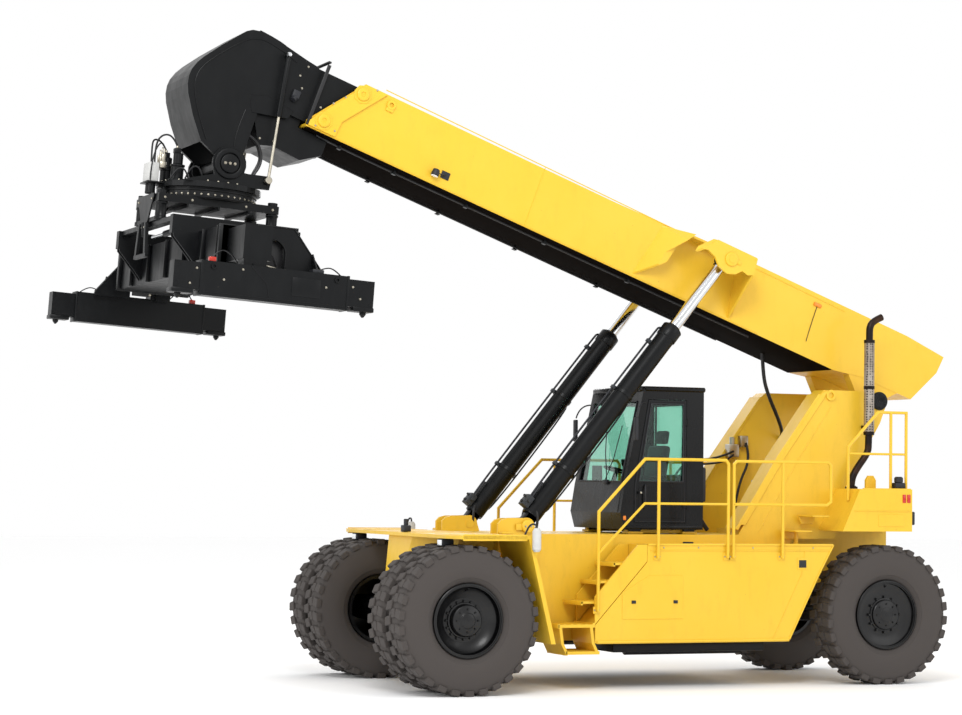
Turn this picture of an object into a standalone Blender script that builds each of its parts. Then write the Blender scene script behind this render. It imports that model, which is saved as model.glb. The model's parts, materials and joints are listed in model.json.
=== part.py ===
"""Reach stacker: a container handler with a telescopic boom and a 20 ft to 40 ft top spreader.

Metres, +Z up, +X forward, +Y to the driver's left.  The origin lies on the ground under the middle of
the whole machine.  Shapes are modelled in the frame of the empty that carries them: "machine" stands on
the drive axle's line, and each moving piece hangs from an empty on its own joint.
"""
import math

import bmesh
import bpy
from mathutils import Matrix, Vector

GAP = 0.0003  # between faces that touch
RUNNING = 0.0004  # round a rod, a pin or a sliding tube
SWING = 0.006  # round a door or another piece that swings past its neighbour

# Running gear
WHEELBASE = 6.25
DRIVE_X = 1.815  # drive axle, forward of the origin
TYRE_RADIUS = 0.925
TYRE_WIDTH = 0.50
RIM_RADIUS = 0.45
DRIVE_OUTSIDE = 2.08  # half the width over the twin drive tyres
TWIN_PITCH = 0.614  # between the two tyres of a pair
STEER_OUTSIDE = 1.595
KINGPIN_Y = 0.94

# Frame
FRAME_TOP = 1.97
FRAME_BOTTOM = 0.60
FRAME_HALF = 0.95
GIRDER_INSIDE = 0.60
FRAME_FRONT = 0.12
FRAME_REAR = -4.98
TAIL_HALF = 0.34
TAIL_END = -6.98
TAIL_BOTTOM = 1.24
PLATE = 0.045
DECK_FRONT = 0.20
DECK_REAR = -0.79
DECK_LOW = 1.925
NOSE_HALF = 0.30

# Boom; its own frame has u along the boom and w square to it, from the pivot pin
PIVOT_X = -6.48
PIVOT_Z = 3.80
BOOM_ANGLE = 20.5
BOOM_HALF = 0.60
BOOM_PIN_RADIUS = 0.075
BOOM_LOW = 0.215
BOOM_TOP = 1.04
BOOM_WALL = 0.03
BOOM_END = 8.83
INNER_HALF = 0.50
INNER_LOW = 0.28
INNER_TOP = 0.985
INNER_TAIL = 1.25
HEAD_PIN_U = 9.556
HEAD_PIN_W = -0.629
HEAD_PIN_RADIUS = 0.10
HEAD_TILT = 3.76  # the spreader hangs a little nose up

# Lift cylinders
LIFT_Y = 0.95
LIFT_BASE_X = -1.19
LIFT_BASE_Z = 2.07
LIFT_EYE_U = 2.885
LIFT_EYE_W = 0.864
LIFT_BARREL_RADIUS = 0.125
LIFT_ROD_RADIUS = 0.0775
LIFT_BARREL_LENGTH = 3.373
LIFT_PIN_RADIUS = 0.06
LIFT_EYE_HALF = 0.08

# Levelling dampers at the boom head
DAMPER_Y = 0.61
DAMPER_TOP_U = 9.36
DAMPER_TOP_W = 0.95
DAMPER_FOOT_X = -0.50  # from the head pin, in the yoke's frame
DAMPER_FOOT_Z = -0.16
DAMPER_BARREL_LENGTH = 0.80
DAMPER_ROD_RADIUS = 0.018
DAMPER_FOOT_HALF = 0.020

# Spreader, in the head pin's level frame
SLEW_X = 0.08
LOCK_X = 1.1295
LOCK_Y = 2.9265
LOCK_TIP = -1.956
SHIFT_RAIL_Z = -0.80

# Cab
CAB_HALF = 0.78
CAB_FLOOR = 2.03
CAB_ROOF = 3.89
CAB_REAR = -3.88
CAB_WALL = 0.05
DOOR_REAR = -3.62
DOOR_FRONT = -2.86

YELLOW = ("painted_yellow", (0.83, 0.62, 0.09, 1), 0.35, 0.0)
BLACK = ("painted_black", (0.02, 0.022, 0.026, 1), 0.4, 0.0)
RUBBER = ("tyre_rubber", (0.02, 0.017, 0.014, 1), 0.85, 0.0)
RIM_BLACK = ("rim_black", (0.008, 0.008, 0.01, 1), 0.3, 0.0)
CHROME = ("chromed_rod", (0.8, 0.8, 0.8, 1), 0.1, 1.0)
GLASS = ("tinted_glass", (0.2, 0.5, 0.42, 0.5), 0.05, 0.0)
STEEL = ("guard_steel", (0.4, 0.38, 0.36, 1), 0.45, 1.0)
CLOTH = ("seat_fabric", (0.05, 0.05, 0.06, 1), 0.9, 0.0)
IRON = ("cast_iron", (0.06, 0.06, 0.06, 1), 0.6, 0.3)

AXES = {"X": (1, 2, 0), "Y": (0, 2, 1), "Z": (0, 1, 2)}


def clear_scene():
    for obj in list(bpy.data.objects):
        bpy.data.objects.remove(obj, do_unlink=True)


def material(spec):
    name, colour, roughness, metallic = spec
    found = bpy.data.materials.get(name)
    if found:
        return found
    made = bpy.data.materials.new(name)
    made.use_nodes = True
    shader = made.node_tree.nodes["Principled BSDF"]
    shader.inputs["Base Color"].default_value = colour
    shader.inputs["Roughness"].default_value = roughness
    shader.inputs["Metallic"].default_value = metallic
    return made


def empty(name, parent=None, at=(0, 0, 0), pitch=0.0):
    """An empty on a joint; pitch lifts its X axis towards Z, in degrees."""
    made = bpy.data.objects.new(name, None)
    made.parent = parent
    made.location = at
    made.rotation_euler = (0, -math.radians(pitch), 0)
    bpy.context.scene.collection.objects.link(made)
    return made


def prism(outline, low, high, axis="Y"):
    """Extrude a closed outline of two coordinates from low to high along the third."""
    first, second, third = AXES[axis]
    shape = bmesh.new()
    ends = []
    for level in (low, high):
        ring = []
        for point in outline:
            place = [0.0, 0.0, 0.0]
            place[first], place[second], place[third] = point[0], point[1], level
            ring.append(shape.verts.new(place))
        ends.append(ring)
    shape.faces.new(ends[0])
    shape.faces.new(ends[1][::-1])
    count = len(outline)
    for i in range(count):
        j = (i + 1) % count
        shape.faces.new((ends[0][i], ends[1][i], ends[1][j], ends[0][j]))
    bmesh.ops.recalc_face_normals(shape, faces=shape.faces)
    return shape


def box(low, high):
    return prism([(low[0], low[1]), (high[0], low[1]), (high[0], high[1]), (low[0], high[1])],
                 low[2], high[2], "Z")


def sheet(points, offset):
    """The convex plate that holds the points and the same points moved by the offset."""
    shape = bmesh.new()
    for point in points:
        shape.verts.new(point)
        shape.verts.new(Vector(point) + Vector(offset))
    bmesh.ops.convex_hull(shape, input=shape.verts)
    bmesh.ops.recalc_face_normals(shape, faces=shape.faces)
    return shape


def turned(profile, axis="Y", centre=(0, 0, 0), segments=32):
    """Turn a closed profile of (radius, along) about an axis; a radius of 0 closes at a pole."""
    first, second, third = AXES[axis]
    shape = bmesh.new()
    rings = []
    for radius, along in profile:
        ring = []
        steps = 1 if radius == 0 else segments
        for i in range(steps):
            turn = 2 * math.pi * i / segments
            place = list(centre)
            place[first] += radius * math.cos(turn)
            place[second] += radius * math.sin(turn)
            place[third] += along
            ring.append(shape.verts.new(place))
        rings.append(ring)
    count = len(rings)
    for k in range(count):
        here, there = rings[k], rings[(k + 1) % count]
        if len(here) == 1 and len(there) == 1:
            continue
        for i in range(segments):
            j = (i + 1) % segments
            corners = [here[i % len(here)], here[j % len(here)], there[j % len(there)], there[i % len(there)]]
            corners = [v for n, v in enumerate(corners) if v not in corners[:n]]
            shape.faces.new(corners)
    bmesh.ops.recalc_face_normals(shape, faces=shape.faces)
    return shape


def disc(radius, low, high, axis="Y", centre=(0, 0, 0), segments=32):
    return turned([(0, low), (radius, low), (radius, high), (0, high)], axis, centre, segments)


def bore(radius, low, high, axis="Y", centre=(0, 0, 0), segments=24, play=RUNNING):
    """A cutter that leaves the play round a pin or rod of the radius, at any turn of either."""
    return disc((radius + play) / math.cos(math.pi / segments), low, high, axis, centre, segments)


def bar(start, end, radius, sides=10):
    """A round bar between two points."""
    start, end = Vector(start), Vector(end)
    shape = disc(radius, 0, (end - start).length, "Z", segments=sides)
    turn = Vector((0, 0, 1)).rotation_difference(end - start).to_matrix().to_4x4()
    bmesh.ops.transform(shape, matrix=Matrix.Translation(start) @ turn, verts=shape.verts)
    return shape


def pipe(points, radius, sides=8):
    """A round bar along a path, mitred at its corners."""
    points = [Vector(p) for p in points]
    steps = [(b - a).normalized() for a, b in zip(points, points[1:])]
    across = steps[0].orthogonal().normalized()
    shape = bmesh.new()
    rings = []
    for k, point in enumerate(points):
        came = steps[max(k - 1, 0)]
        goes = steps[min(k, len(steps) - 1)]
        if k:
            across = steps[k - 2 if k > 1 else 0].rotation_difference(came) @ across if k > 1 else across
        normal = (came + goes).normalized()
        up = came.cross(across)
        ring = []
        for i in range(sides):
            turn = 2 * math.pi * (i + 0.5) / sides
            offset = radius * (math.cos(turn) * across + math.sin(turn) * up)
            ring.append(shape.verts.new(point + offset - came * offset.dot(normal) / came.dot(normal)))
        rings.append(ring)
    for here, there in zip(rings, rings[1:]):
        for i in range(sides):
            j = (i + 1) % sides
            shape.faces.new((here[i], here[j], there[j], there[i]))
    shape.faces.new(rings[0])
    shape.faces.new(rings[-1][::-1])
    bmesh.ops.recalc_face_normals(shape, faces=shape.faces)
    return [shape]


def arc(centre, radius, start, end, steps):
    """Points on an arc, angles in degrees, ends included."""
    angles = [math.radians(start + (end - start) * i / steps) for i in range(steps + 1)]
    return [(centre[0] + radius * math.cos(a), centre[1] + radius * math.sin(a)) for a in angles]


def mirrored(shape):
    copy = shape.copy()
    bmesh.ops.scale(copy, vec=(1, -1, 1), verts=copy.verts)
    bmesh.ops.reverse_faces(copy, faces=copy.faces)
    return copy


def both(*shapes):
    """The shapes and their mirror images across the machine's middle plane."""
    return list(shapes) + [mirrored(s) for s in shapes]


def as_object(name, shape):
    mesh = bpy.data.meshes.new(name)
    shape.to_mesh(mesh)
    shape.free()
    made = bpy.data.objects.new(name, mesh)
    bpy.context.scene.collection.objects.link(made)
    return made


def split_wide_faces(mesh):
    """Split the many-cornered faces that a Boolean leaves into triangles."""
    shape = bmesh.new()
    shape.from_mesh(mesh)
    wide = [face for face in shape.faces if len(face.verts) > 4]
    bmesh.ops.triangulate(shape, faces=wide)
    shape.to_mesh(mesh)
    shape.free()


def node(name, spec, parent, shapes, cuts=(), smooth=False):
    """One named solid: the shapes joined, the cuts taken out, hung from its parent."""
    shapes = list(shapes)
    made = as_object(name, shapes[0])
    tools = []
    for operation, group in (("UNION", shapes[1:]), ("DIFFERENCE", cuts)):
        for shape in group:
            tool = as_object("tool", shape)
            change = made.modifiers.new("join", "BOOLEAN")
            change.operation = operation
            change.object = tool
            tools.append(tool)
    if tools:
        graph = bpy.context.evaluated_depsgraph_get()
        made.data = bpy.data.meshes.new_from_object(made.evaluated_get(graph))
        made.modifiers.clear()
        split_wide_faces(made.data)
    for tool in tools:
        bpy.data.objects.remove(tool, do_unlink=True)
    made.data.materials.clear()
    made.data.materials.append(material(spec))
    if smooth:
        made.data.shade_smooth()
        made.data.set_sharp_from_angle(angle=math.radians(35))
    made.parent = parent
    return made


def build_frame(machine):
    girder = [(FRAME_FRONT, DECK_LOW - GAP), (DECK_REAR - GAP, DECK_LOW - GAP),
              (DECK_REAR - GAP, FRAME_TOP), (FRAME_REAR - 0.16, FRAME_TOP), (-4.70, FRAME_BOTTOM),
              (-0.95, FRAME_BOTTOM), (-0.62, 1.22), (FRAME_FRONT + 0.12, 1.22)]
    body = prism(girder, -FRAME_HALF, FRAME_HALF)
    tail = box((TAIL_END, -TAIL_HALF, TAIL_BOTTOM), (FRAME_REAR + 0.3, TAIL_HALF, FRAME_TOP + 0.065))
    trough = box((-4.80, -GIRDER_INSIDE, FRAME_BOTTOM + 0.04), (-1.10, GIRDER_INSIDE, FRAME_TOP - 0.04))
    hatch = box((-2.9, -GIRDER_INSIDE, FRAME_BOTTOM - 0.1), (-1.10, GIRDER_INSIDE, FRAME_BOTTOM + 0.1))
    arch = box((-0.36, -0.36, 1.0), (0.36, 0.36, 1.32))
    corner = prism([(0.22, NOSE_HALF), (-0.30, FRAME_HALF), (-0.30, 1.2), (0.5, 1.2), (0.5, NOSE_HALF)],
                   1.0, 2.2, "Z")
    towers = both(tower())
    pin = disc(BOOM_PIN_RADIUS, -0.97, 0.97, "Y", (PIVOT_X, 0, PIVOT_Z), 22)
    lugs = both(*lift_lug())
    node("chassis_frame", YELLOW, machine, [body, tail, *towers, pin, *lugs],
         [trough, hatch, arch, *both(corner)])
    node("engine_block", IRON, machine,
         [box((-4.70, -0.45, FRAME_BOTTOM + 0.04 + GAP), (-3.05, 0.45, 1.62))])


TOWER_IN = 0.68
TOWER_OUT = 0.95


def tower():
    outline = [(-4.30, FRAME_TOP - 0.05), (-4.93, 3.02), (-5.55, 3.87), (-5.62, 3.93), (-6.40, 3.93)]
    outline += arc((PIVOT_X, PIVOT_Z), 0.13, 80, 215, 8)
    outline += [(-6.50, 3.50), (-5.95, 2.60), (-5.80, FRAME_TOP - 0.05)]
    return prism(outline, TOWER_IN, TOWER_OUT)


def lift_lug():
    front = DECK_REAR - GAP
    outline = [(LIFT_BASE_X - 0.16, FRAME_TOP - 0.05), (front, FRAME_TOP - 0.05), (front, 2.10)]
    outline += [(front - 0.05, 2.15), (-0.92, 2.17)]
    outline += arc((LIFT_BASE_X, LIFT_BASE_Z), 0.11, 75, 180, 6)
    inner = LIFT_Y - LIFT_EYE_HALF - 0.045
    outer = LIFT_Y + LIFT_EYE_HALF + 0.005
    plates = [prism(outline, inner, inner + 0.04), prism(outline, outer, outer + 0.04)]
    pin = disc(LIFT_PIN_RADIUS, inner - 0.01, outer + 0.05, "Y", (LIFT_BASE_X, 0, LIFT_BASE_Z), 20)
    saddle = box((-1.36, FRAME_HALF - 0.02, FRAME_TOP - 0.30), (front, outer + 0.04, FRAME_TOP - 0.0005))
    return [*plates, pin, saddle]


def build_deck(machine):
    top = [(DECK_FRONT, -1.75), (DECK_FRONT, 1.75), (0.12, DRIVE_OUTSIDE), (DECK_REAR, DRIVE_OUTSIDE),
           (DECK_REAR, -DRIVE_OUTSIDE), (0.12, -DRIVE_OUTSIDE)]
    plate = prism(top, DECK_LOW, FRAME_TOP, "Z")
    back = [(DECK_REAR + 0.02, FRAME_TOP), (DECK_REAR - 0.03, FRAME_TOP), (-1.16, 0.63), (-1.10, 0.63)]
    flaps = both(prism(back, LIFT_Y + 0.15, DRIVE_OUTSIDE))
    node("front_deck", YELLOW, machine, [plate, *flaps])


def build_sides(machine):
    face = FRAME_HALF + GAP
    side = 1.58
    tank = [(-1.935, FRAME_BOTTOM), (-4.75, FRAME_BOTTOM), (-5.20, 1.47), (-5.42, 1.85), (-2.665, 1.85),
            (-2.665, 1.63), (-1.935, 0.83)]
    stringer = [(-1.93, 0.84), (-1.93, 1.19), (-2.53, 1.85), (-2.66, 1.85), (-2.66, 1.64)]
    for name, flip in (("left", False), ("right", True)):
        turn = mirrored if flip else (lambda s: s)
        node("side_tank_" + name, YELLOW, machine, [turn(prism(tank, face, side))])
        treads = [box((back, 1.0, z - 0.03), (back + 0.42, side - 0.03, z))
                  for back, z in ((-2.17, 1.13), (-2.41, 1.39), (-2.62, 1.62))]
        platform = box((-1.93, 1.0, 0.80), (-1.42, side, 0.84))
        hangers = [prism([(x, 0.82), (x - 0.04, 0.82), (x - 0.07, 0.60), (x - 0.14, 0.46), (x - 0.10, 0.46),
                          (x - 0.03, 0.60)], 1.0, side) for x in (-1.43, -1.86)]
        sill = box((-2.00, 1.0, 0.46), (-1.53, side, 0.50))
        plates = [prism(stringer, y, y + 0.03) for y in (1.0, side - 0.03)]
        tie = box((-1.93, 1.0, 0.80), (-1.90, side, 0.86))
        node("steps_" + name, YELLOW, machine,
             [turn(s) for s in [platform, *plates, *treads, *hangers, sill, tie]])
        build_rails(machine, name, turn, side)


def build_rails(machine, name, turn, side):
    y = side + 0.04
    radius = 0.021

    def post(x, top, foot):
        return [(x, y, top), (x, y, foot), (x, side + GAP, foot)]

    front = [pipe([(-1.95, side + GAP, 1.02), (-1.95, y, 1.02), (-1.95, y, 2.27), (-2.60, y, 2.95),
                   (-3.77, y, 2.95), (-3.81, y, 2.90), (-3.81, y, 1.70), (-3.81, side + GAP, 1.70)], radius),
             pipe([(-1.95, y, 1.74), (-2.60, y, 2.38), (-3.81, y, 2.38)], radius * 0.8),
             pipe(post(-2.80, 2.95, 1.70), radius)]
    rear = [pipe([(-3.89, side + GAP, 1.70), (-3.89, y, 1.70), (-3.89, y, 2.90), (-3.93, y, 2.94),
                  (-5.30, y, 2.94), (-5.34, y, 2.90), (-5.34, y, 2.42), (-5.28, y, 2.38),
                  (-3.89, y, 2.38)], radius),
            pipe(post(-4.62, 2.94, 1.70), radius)]
    for label, runs in (("handrail_front_", front), ("handrail_rear_", rear)):
        node(label + name, YELLOW, machine, [turn(s) for run in runs for s in run])
    top = CWT_TOP + GAP
    tail = [pipe([(-5.72, 1.42, 2.447), (-5.72, 1.42, 3.16), (-6.18, 1.42, 3.63), (-6.62, 1.42, 3.63),
                  (-6.62, 1.42, top)], radius),
            pipe([(-5.72, 1.42, 3.07), (-6.62, 1.42, 3.07)], radius * 0.8),
            pipe([(-6.38, 1.42, 3.63), (-6.38, 1.42, top)], radius)]
    node("tail_rail_" + name, YELLOW, machine, [turn(s) for run in tail for s in run])


CWT_LOW = FRAME_TOP + 0.065 + GAP
CWT_TOP = 2.60


def build_rear(machine):
    plan = [(-5.10, 1.58), (-6.62, 1.58), (-6.95, 1.05), (-6.95, -1.05), (-6.62, -1.58), (-5.10, -1.58)]
    slope = [(-4.6, CWT_LOW - 0.3), (-5.42, CWT_LOW - 0.2), (-5.55, CWT_LOW), (-5.86, CWT_TOP + 0.1),
             (-4.6, CWT_TOP + 0.1)]
    body = prism(plan, CWT_LOW, CWT_TOP, "Z")
    wedge = prism(slope, -2, 2)
    room = box((-6.2, -TOWER_OUT - GAP, 1.0), (-4.0, TOWER_OUT + GAP, 4.0))
    eyes = both(prism([(-6.28, CWT_TOP - 0.02), (-6.28, 2.72), (-6.24, 2.78), (-6.16, 2.78), (-6.12, 2.72),
                       (-6.12, CWT_TOP - 0.02)], 1.18, 1.21))
    node("counterweight", YELLOW, machine, [body, *eyes], [wedge, room])
    y = 1.12
    stack = [(-5.95, y, 2.70), (-6.22, y, 3.12), (-6.22, y, 4.72), (-6.27, y, 4.86), (-6.40, y, 4.93)]
    runs = pipe([(-5.95, y, CWT_TOP + GAP)] + stack, 0.05, 12)
    guard = disc(0.065, 3.35, 4.60, "Z", (-6.22, y, 0), 16)
    stay = box((-6.25, TOWER_OUT + GAP, 3.42), (-6.19, y, 3.46))
    node("exhaust_stack", STEEL, machine, [*runs, guard, stay])


def tyre_shape():
    half = TYRE_WIDTH / 2
    bead = RIM_RADIUS + GAP
    profile = [(bead, -half + 0.09), (bead + 0.05, -half + 0.03), (TYRE_RADIUS - 0.24, -half),
               (TYRE_RADIUS - 0.07, -half + 0.025), (TYRE_RADIUS, -half + 0.08), (TYRE_RADIUS, half - 0.08),
               (TYRE_RADIUS - 0.07, half - 0.025), (TYRE_RADIUS - 0.24, half), (bead + 0.05, half - 0.03),
               (bead, half - 0.09)]
    return turned(profile, "Y", segments=36)


def rim_profile(outer_face, inner_face, disc_at, hub_face):
    """A well-base rim: tube, sunk disc and hub; along runs outwards from the wheel's inner side."""
    r = RIM_RADIUS
    return [(0, hub_face), (0.17, hub_face), (0.17, disc_at - 0.05), (r - 0.04, disc_at - 0.03),
            (r - 0.04, inner_face), (r, inner_face), (r, outer_face), (r - 0.03, outer_face),
            (r - 0.05, disc_at + 0.03), (0.24, disc_at), (0.22, disc_at + 0.10), (0.13, disc_at + 0.13),
            (0, disc_at + 0.13)]


AXLE_END = 0.93


def build_wheels(machine):
    outer = DRIVE_OUTSIDE - TYRE_WIDTH / 2
    inner = outer - TWIN_PITCH
    for name, sign in (("left", 1), ("right", -1)):
        turn = (lambda s: s) if sign > 0 else mirrored
        hub = empty("drive_hub_" + name, machine, (0, 0, TYRE_RADIUS))
        for label, y in (("outer", outer), ("inner", inner)):
            tyre = tyre_shape()
            bmesh.ops.translate(tyre, vec=(0, y, 0), verts=tyre.verts)
            node("drive_tyre_%s_%s" % (label, name), RUBBER, hub, [turn(tyre)], smooth=True)
        rim = turned(rim_profile(outer + 0.21, inner - 0.21, outer - 0.02, AXLE_END + GAP), "Y", segments=36)
        node("drive_rim_" + name, RIM_BLACK, hub, [turn(rim)], smooth=True)
    housing = box((-0.19, -AXLE_END + 0.02, TYRE_RADIUS - 0.17), (0.19, AXLE_END - 0.02, TYRE_RADIUS + 0.17))
    bulge = disc(0.34, -0.30, 0.24, "X", (0, 0, TYRE_RADIUS), 24)
    ends = both(disc(0.15, 0.8, AXLE_END, "Y", (0, 0, TYRE_RADIUS), 24))
    pads = both(box((-0.22, 0.40, TYRE_RADIUS), (0.04, 0.54, 1.22 - GAP)))
    node("drive_axle", BLACK, machine, [housing, bulge, *ends, *pads])
    build_steer(machine)


def build_steer(machine):
    x = -WHEELBASE
    z = TYRE_RADIUS
    centre = STEER_OUTSIDE - TYRE_WIDTH / 2
    beam = prism([(-0.72, z - 0.16), (0.72, z - 0.16), (0.84, z + 0.20), (0.60, z + 0.20), (0.30, z + 0.14),
                  (-0.30, z + 0.14), (-0.60, z + 0.20), (-0.84, z + 0.20)], x - 0.17, x + 0.17, "X")
    forks = both(box((x - 0.12, 0.70, z + 0.15), (x + 0.12, KINGPIN_Y + 0.09, z + 0.20)),
                 box((x - 0.12, 0.70, z - 0.20), (x + 0.12, KINGPIN_Y + 0.09, z - 0.15)))
    pins = both(bar((x, KINGPIN_Y, z - 0.22), (x, KINGPIN_Y, z + 0.22), 0.045, 16))
    saddle = box((x - 0.14, -0.20, z + 0.1), (x + 0.14, 0.20, TAIL_BOTTOM - GAP))
    node("steer_axle", BLACK, machine, [beam, saddle, *forks, *pins])
    for name, sign in (("left", 1), ("right", -1)):
        turn = (lambda s: s) if sign > 0 else mirrored
        pivot = empty("kingpin_" + name, machine, (x, sign * KINGPIN_Y, z))
        block = disc(0.085, -0.145, 0.145, "Z", segments=20)
        stub = bar((0, 0.03, 0), (0, 0.20, 0), 0.07, 20)
        flange = bar((0, 0.18, 0), (0, 0.22, 0), 0.13, 24)
        hole = bore(0.045, -0.3, 0.3, "Z", segments=32)
        node("steer_knuckle_" + name, BLACK, pivot, [turn(s) for s in (block, stub, flange)], [hole])
        hub = empty("steer_hub_" + name, pivot, (0, 0, 0))
        offset = centre - KINGPIN_Y
        tyre = tyre_shape()
        bmesh.ops.translate(tyre, vec=(0, offset, 0), verts=tyre.verts)
        node("steer_tyre_" + name, RUBBER, hub, [turn(tyre)], smooth=True)
        rim = turned(rim_profile(offset + 0.21, offset - 0.21, offset + 0.05, 0.22 + GAP), "Y", segments=36)
        node("steer_rim_" + name, RIM_BLACK, hub, [turn(rim)], smooth=True)


def build_cab(machine):
    profile = [(CAB_REAR, CAB_FLOOR), (CAB_REAR, CAB_ROOF), (-2.99, CAB_ROOF), (-2.72, 2.62),
               (-2.66, 2.25), (-2.72, CAB_FLOOR)]
    w = CAB_WALL
    inside = [(CAB_REAR + w, CAB_FLOOR + w), (CAB_REAR + w, CAB_ROOF - 0.09), (-3.03, CAB_ROOF - 0.09),
              (-2.78, 2.62), (-2.72, 2.25), (-2.77, CAB_FLOOR + w)]
    outside = prism(profile, -CAB_HALF, CAB_HALF)
    room = prism(inside, -CAB_HALF + w, CAB_HALF - w)
    screen = box((-3.10, -0.66, 2.66), (-2.50, 0.66, 3.72))
    rear = box((CAB_REAR - 0.1, -0.62, 2.75), (CAB_REAR + 0.2, 0.62, 3.70))
    right = prism([(-3.72, 2.60), (-3.72, 3.70), (-3.06, 3.70), (-2.88, 2.60)], -1, -CAB_HALF + 0.2)
    doorway = prism(door_outline(SWING), CAB_HALF - 0.2, 1)
    node("cab_shell", BLACK, machine, [outside, *cab_feet()], [room, screen, rear, right, doorway])
    g = GAP
    slant = (3.90 - 2.62) / (-2.99 + 2.72)

    def screen_x(z):
        return -2.72 + (z - 2.62) / slant

    t = 0.012
    glass = prism([(screen_x(z) - 0.02 - back, z) for back, z in
                   ((0, 2.66 + g), (0, 3.72 - g), (t, 3.72 - g), (t, 2.66 + g))], -0.66 + g, 0.66 - g)
    node("windscreen", GLASS, machine, [glass])
    node("rear_window", GLASS, machine,
         [box((CAB_REAR + 0.02, -0.62 + g, 2.75 + g), (CAB_REAR + 0.02 + t, 0.62 - g, 3.70 - g))])
    pane = prism([(-3.72 + g, 2.60 + g), (-3.72 + g, 3.70 - g), (-3.06 - g, 3.70 - g), (-2.88 - g, 2.60 + g)],
                 -CAB_HALF + 0.015, -CAB_HALF + 0.015 + t)
    node("side_window_right", GLASS, machine, [pane])
    build_door(machine)
    build_cab_inside(machine)


def cab_feet():
    return [box((x, y - 0.07, FRAME_TOP + GAP), (x + 0.16, y + 0.07, CAB_FLOOR + 0.02))
            for x in (-3.80, -3.0) for y in (-0.62, 0.62)]


def door_outline(grow=0.0):
    g = grow
    return [(DOOR_REAR - g, 2.12 - g), (DOOR_REAR - g, 3.74 + g), (-3.06 + g, 3.74 + g),
            (DOOR_FRONT + g, 2.62), (DOOR_FRONT + g, 2.12 - g)]


HINGE_X = DOOR_REAR - 0.012
HINGE_Y = CAB_HALF + 0.0105


def build_door(machine):
    hinge = empty("door_hinge", machine, (HINGE_X, HINGE_Y, 0))
    shift = Vector((-HINGE_X, -HINGE_Y, 0))
    leaf = prism(door_outline(), CAB_HALF - 0.045, CAB_HALF)
    opening = prism([(-3.575, 2.66), (-3.575, 3.69), (-3.10, 3.69), (-2.925, 2.66)], 0, 1)
    handle = box((-2.98, CAB_HALF - 0.01, 2.50), (-2.91, CAB_HALF + 0.03, 2.53))
    knuckles = [bar((HINGE_X, HINGE_Y, z), (HINGE_X, HINGE_Y, z + 0.10), 0.010, 10) for z in (2.3, 3.4)]
    face = CAB_HALF
    strap = [(HINGE_X, face + 0.002), (DOOR_REAR + 0.001, face + 0.002), (DOOR_REAR + 0.001, face - 0.01),
             (DOOR_REAR + 0.05, face - 0.01), (DOOR_REAR + 0.05, face + 0.012), (HINGE_X, face + 0.012)]
    wings = [prism(strap, z + 0.01, z + 0.09, "Z") for z in (2.3, 3.4)]
    glass = prism([(-3.575 + GAP, 2.66 + GAP), (-3.575 + GAP, 3.69 - GAP), (-3.10 - GAP, 3.69 - GAP),
                   (-2.925 - GAP, 2.66 + GAP)], CAB_HALF - 0.030, CAB_HALF - 0.018)
    groups = [leaf, handle, *knuckles, *wings]
    for shape in [*groups, opening, glass]:
        bmesh.ops.translate(shape, vec=shift, verts=shape.verts)
    node("cab_door", BLACK, hinge, groups, [opening])
    node("door_glass", GLASS, hinge, [glass])


def build_cab_inside(machine):
    floor = CAB_FLOOR + CAB_WALL + GAP
    base = box((-3.55, -0.20, floor), (-3.15, 0.20, floor + 0.30))
    cushion = box((-3.60, -0.26, floor + 0.28), (-3.08, 0.26, floor + 0.42))
    back = prism([(-3.58, floor + 0.36), (-3.46, floor + 0.36), (-3.58, floor + 1.10), (-3.70, floor + 1.10)],
                 -0.25, 0.25)
    node("driver_seat", CLOTH, machine, [base, cushion, back])
    post = bar((-2.86, 0, floor + 0.30), (-2.98, 0, floor + 0.72), 0.035, 10)
    stand = box((-2.95, -0.10, floor), (-2.80, 0.10, floor + 0.34))
    wheel = turned([(0.15, -0.012), (0.18, -0.012), (0.18, 0.012), (0.15, 0.012)], "Z", segments=20)
    spoke = box((-0.16, -0.02, -0.008), (0.16, 0.02, 0.008))
    place = Matrix.Translation((-2.98, 0, floor + 0.72)) @ Matrix.Rotation(math.radians(-16), 4, "Y")
    for shape in (wheel, spoke):
        bmesh.ops.transform(shape, matrix=place, verts=shape.verts)
    node("steering_column", BLACK, machine, [stand, post, spoke, wheel])


def build_boom(pivot):
    shell = [(8.83, BOOM_LOW), (8.84, 0.30), (8.28, BOOM_TOP), (4.5, BOOM_TOP), (2.2, 1.10), (-0.3, 1.10),
             (-0.95, 1.05), (-0.92, 0.80), (-0.66, 0.30), (0.2, 0.29), (0.62, BOOM_LOW)]
    body = prism(shell, -BOOM_HALF, BOOM_HALF)
    cavity = box((INNER_TAIL - 0.15, -0.565, 0.25), (9.5, 0.565, 1.01))
    slot = box((7.0, -INNER_HALF - RUNNING, INNER_LOW - RUNNING), (9.0, INNER_HALF + RUNNING,
                                                                  INNER_TOP + RUNNING))
    bands = both(prism([(8.81, BOOM_LOW + 0.02), (8.81, 0.30), (8.27, BOOM_TOP - 0.01), (7.97, BOOM_TOP - 0.01),
                        (8.41, 0.45), (8.43, BOOM_LOW + 0.02)], BOOM_HALF - 0.01, BOOM_HALF + 0.035))
    pivot_lugs = both(prism([(-0.45, 0.32), (0.45, 0.32)] + arc((0, 0), 0.15, 8, -188, 8), 0.44, 0.595))
    pin_hole = bore(BOOM_PIN_RADIUS, -1, 1, segments=22)
    node("boom_outer", YELLOW, pivot,
                [body, *bands, *pivot_lugs, *both(*lift_bracket())], [cavity, pin_hole, *bracket_slots()])
    node("boom_pads", BLACK, pivot, [box((7.75, -0.565 + GAP, 0.25 + GAP),
                                               (7.95, 0.565 - GAP, 1.01 - GAP))], [slot])


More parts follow.
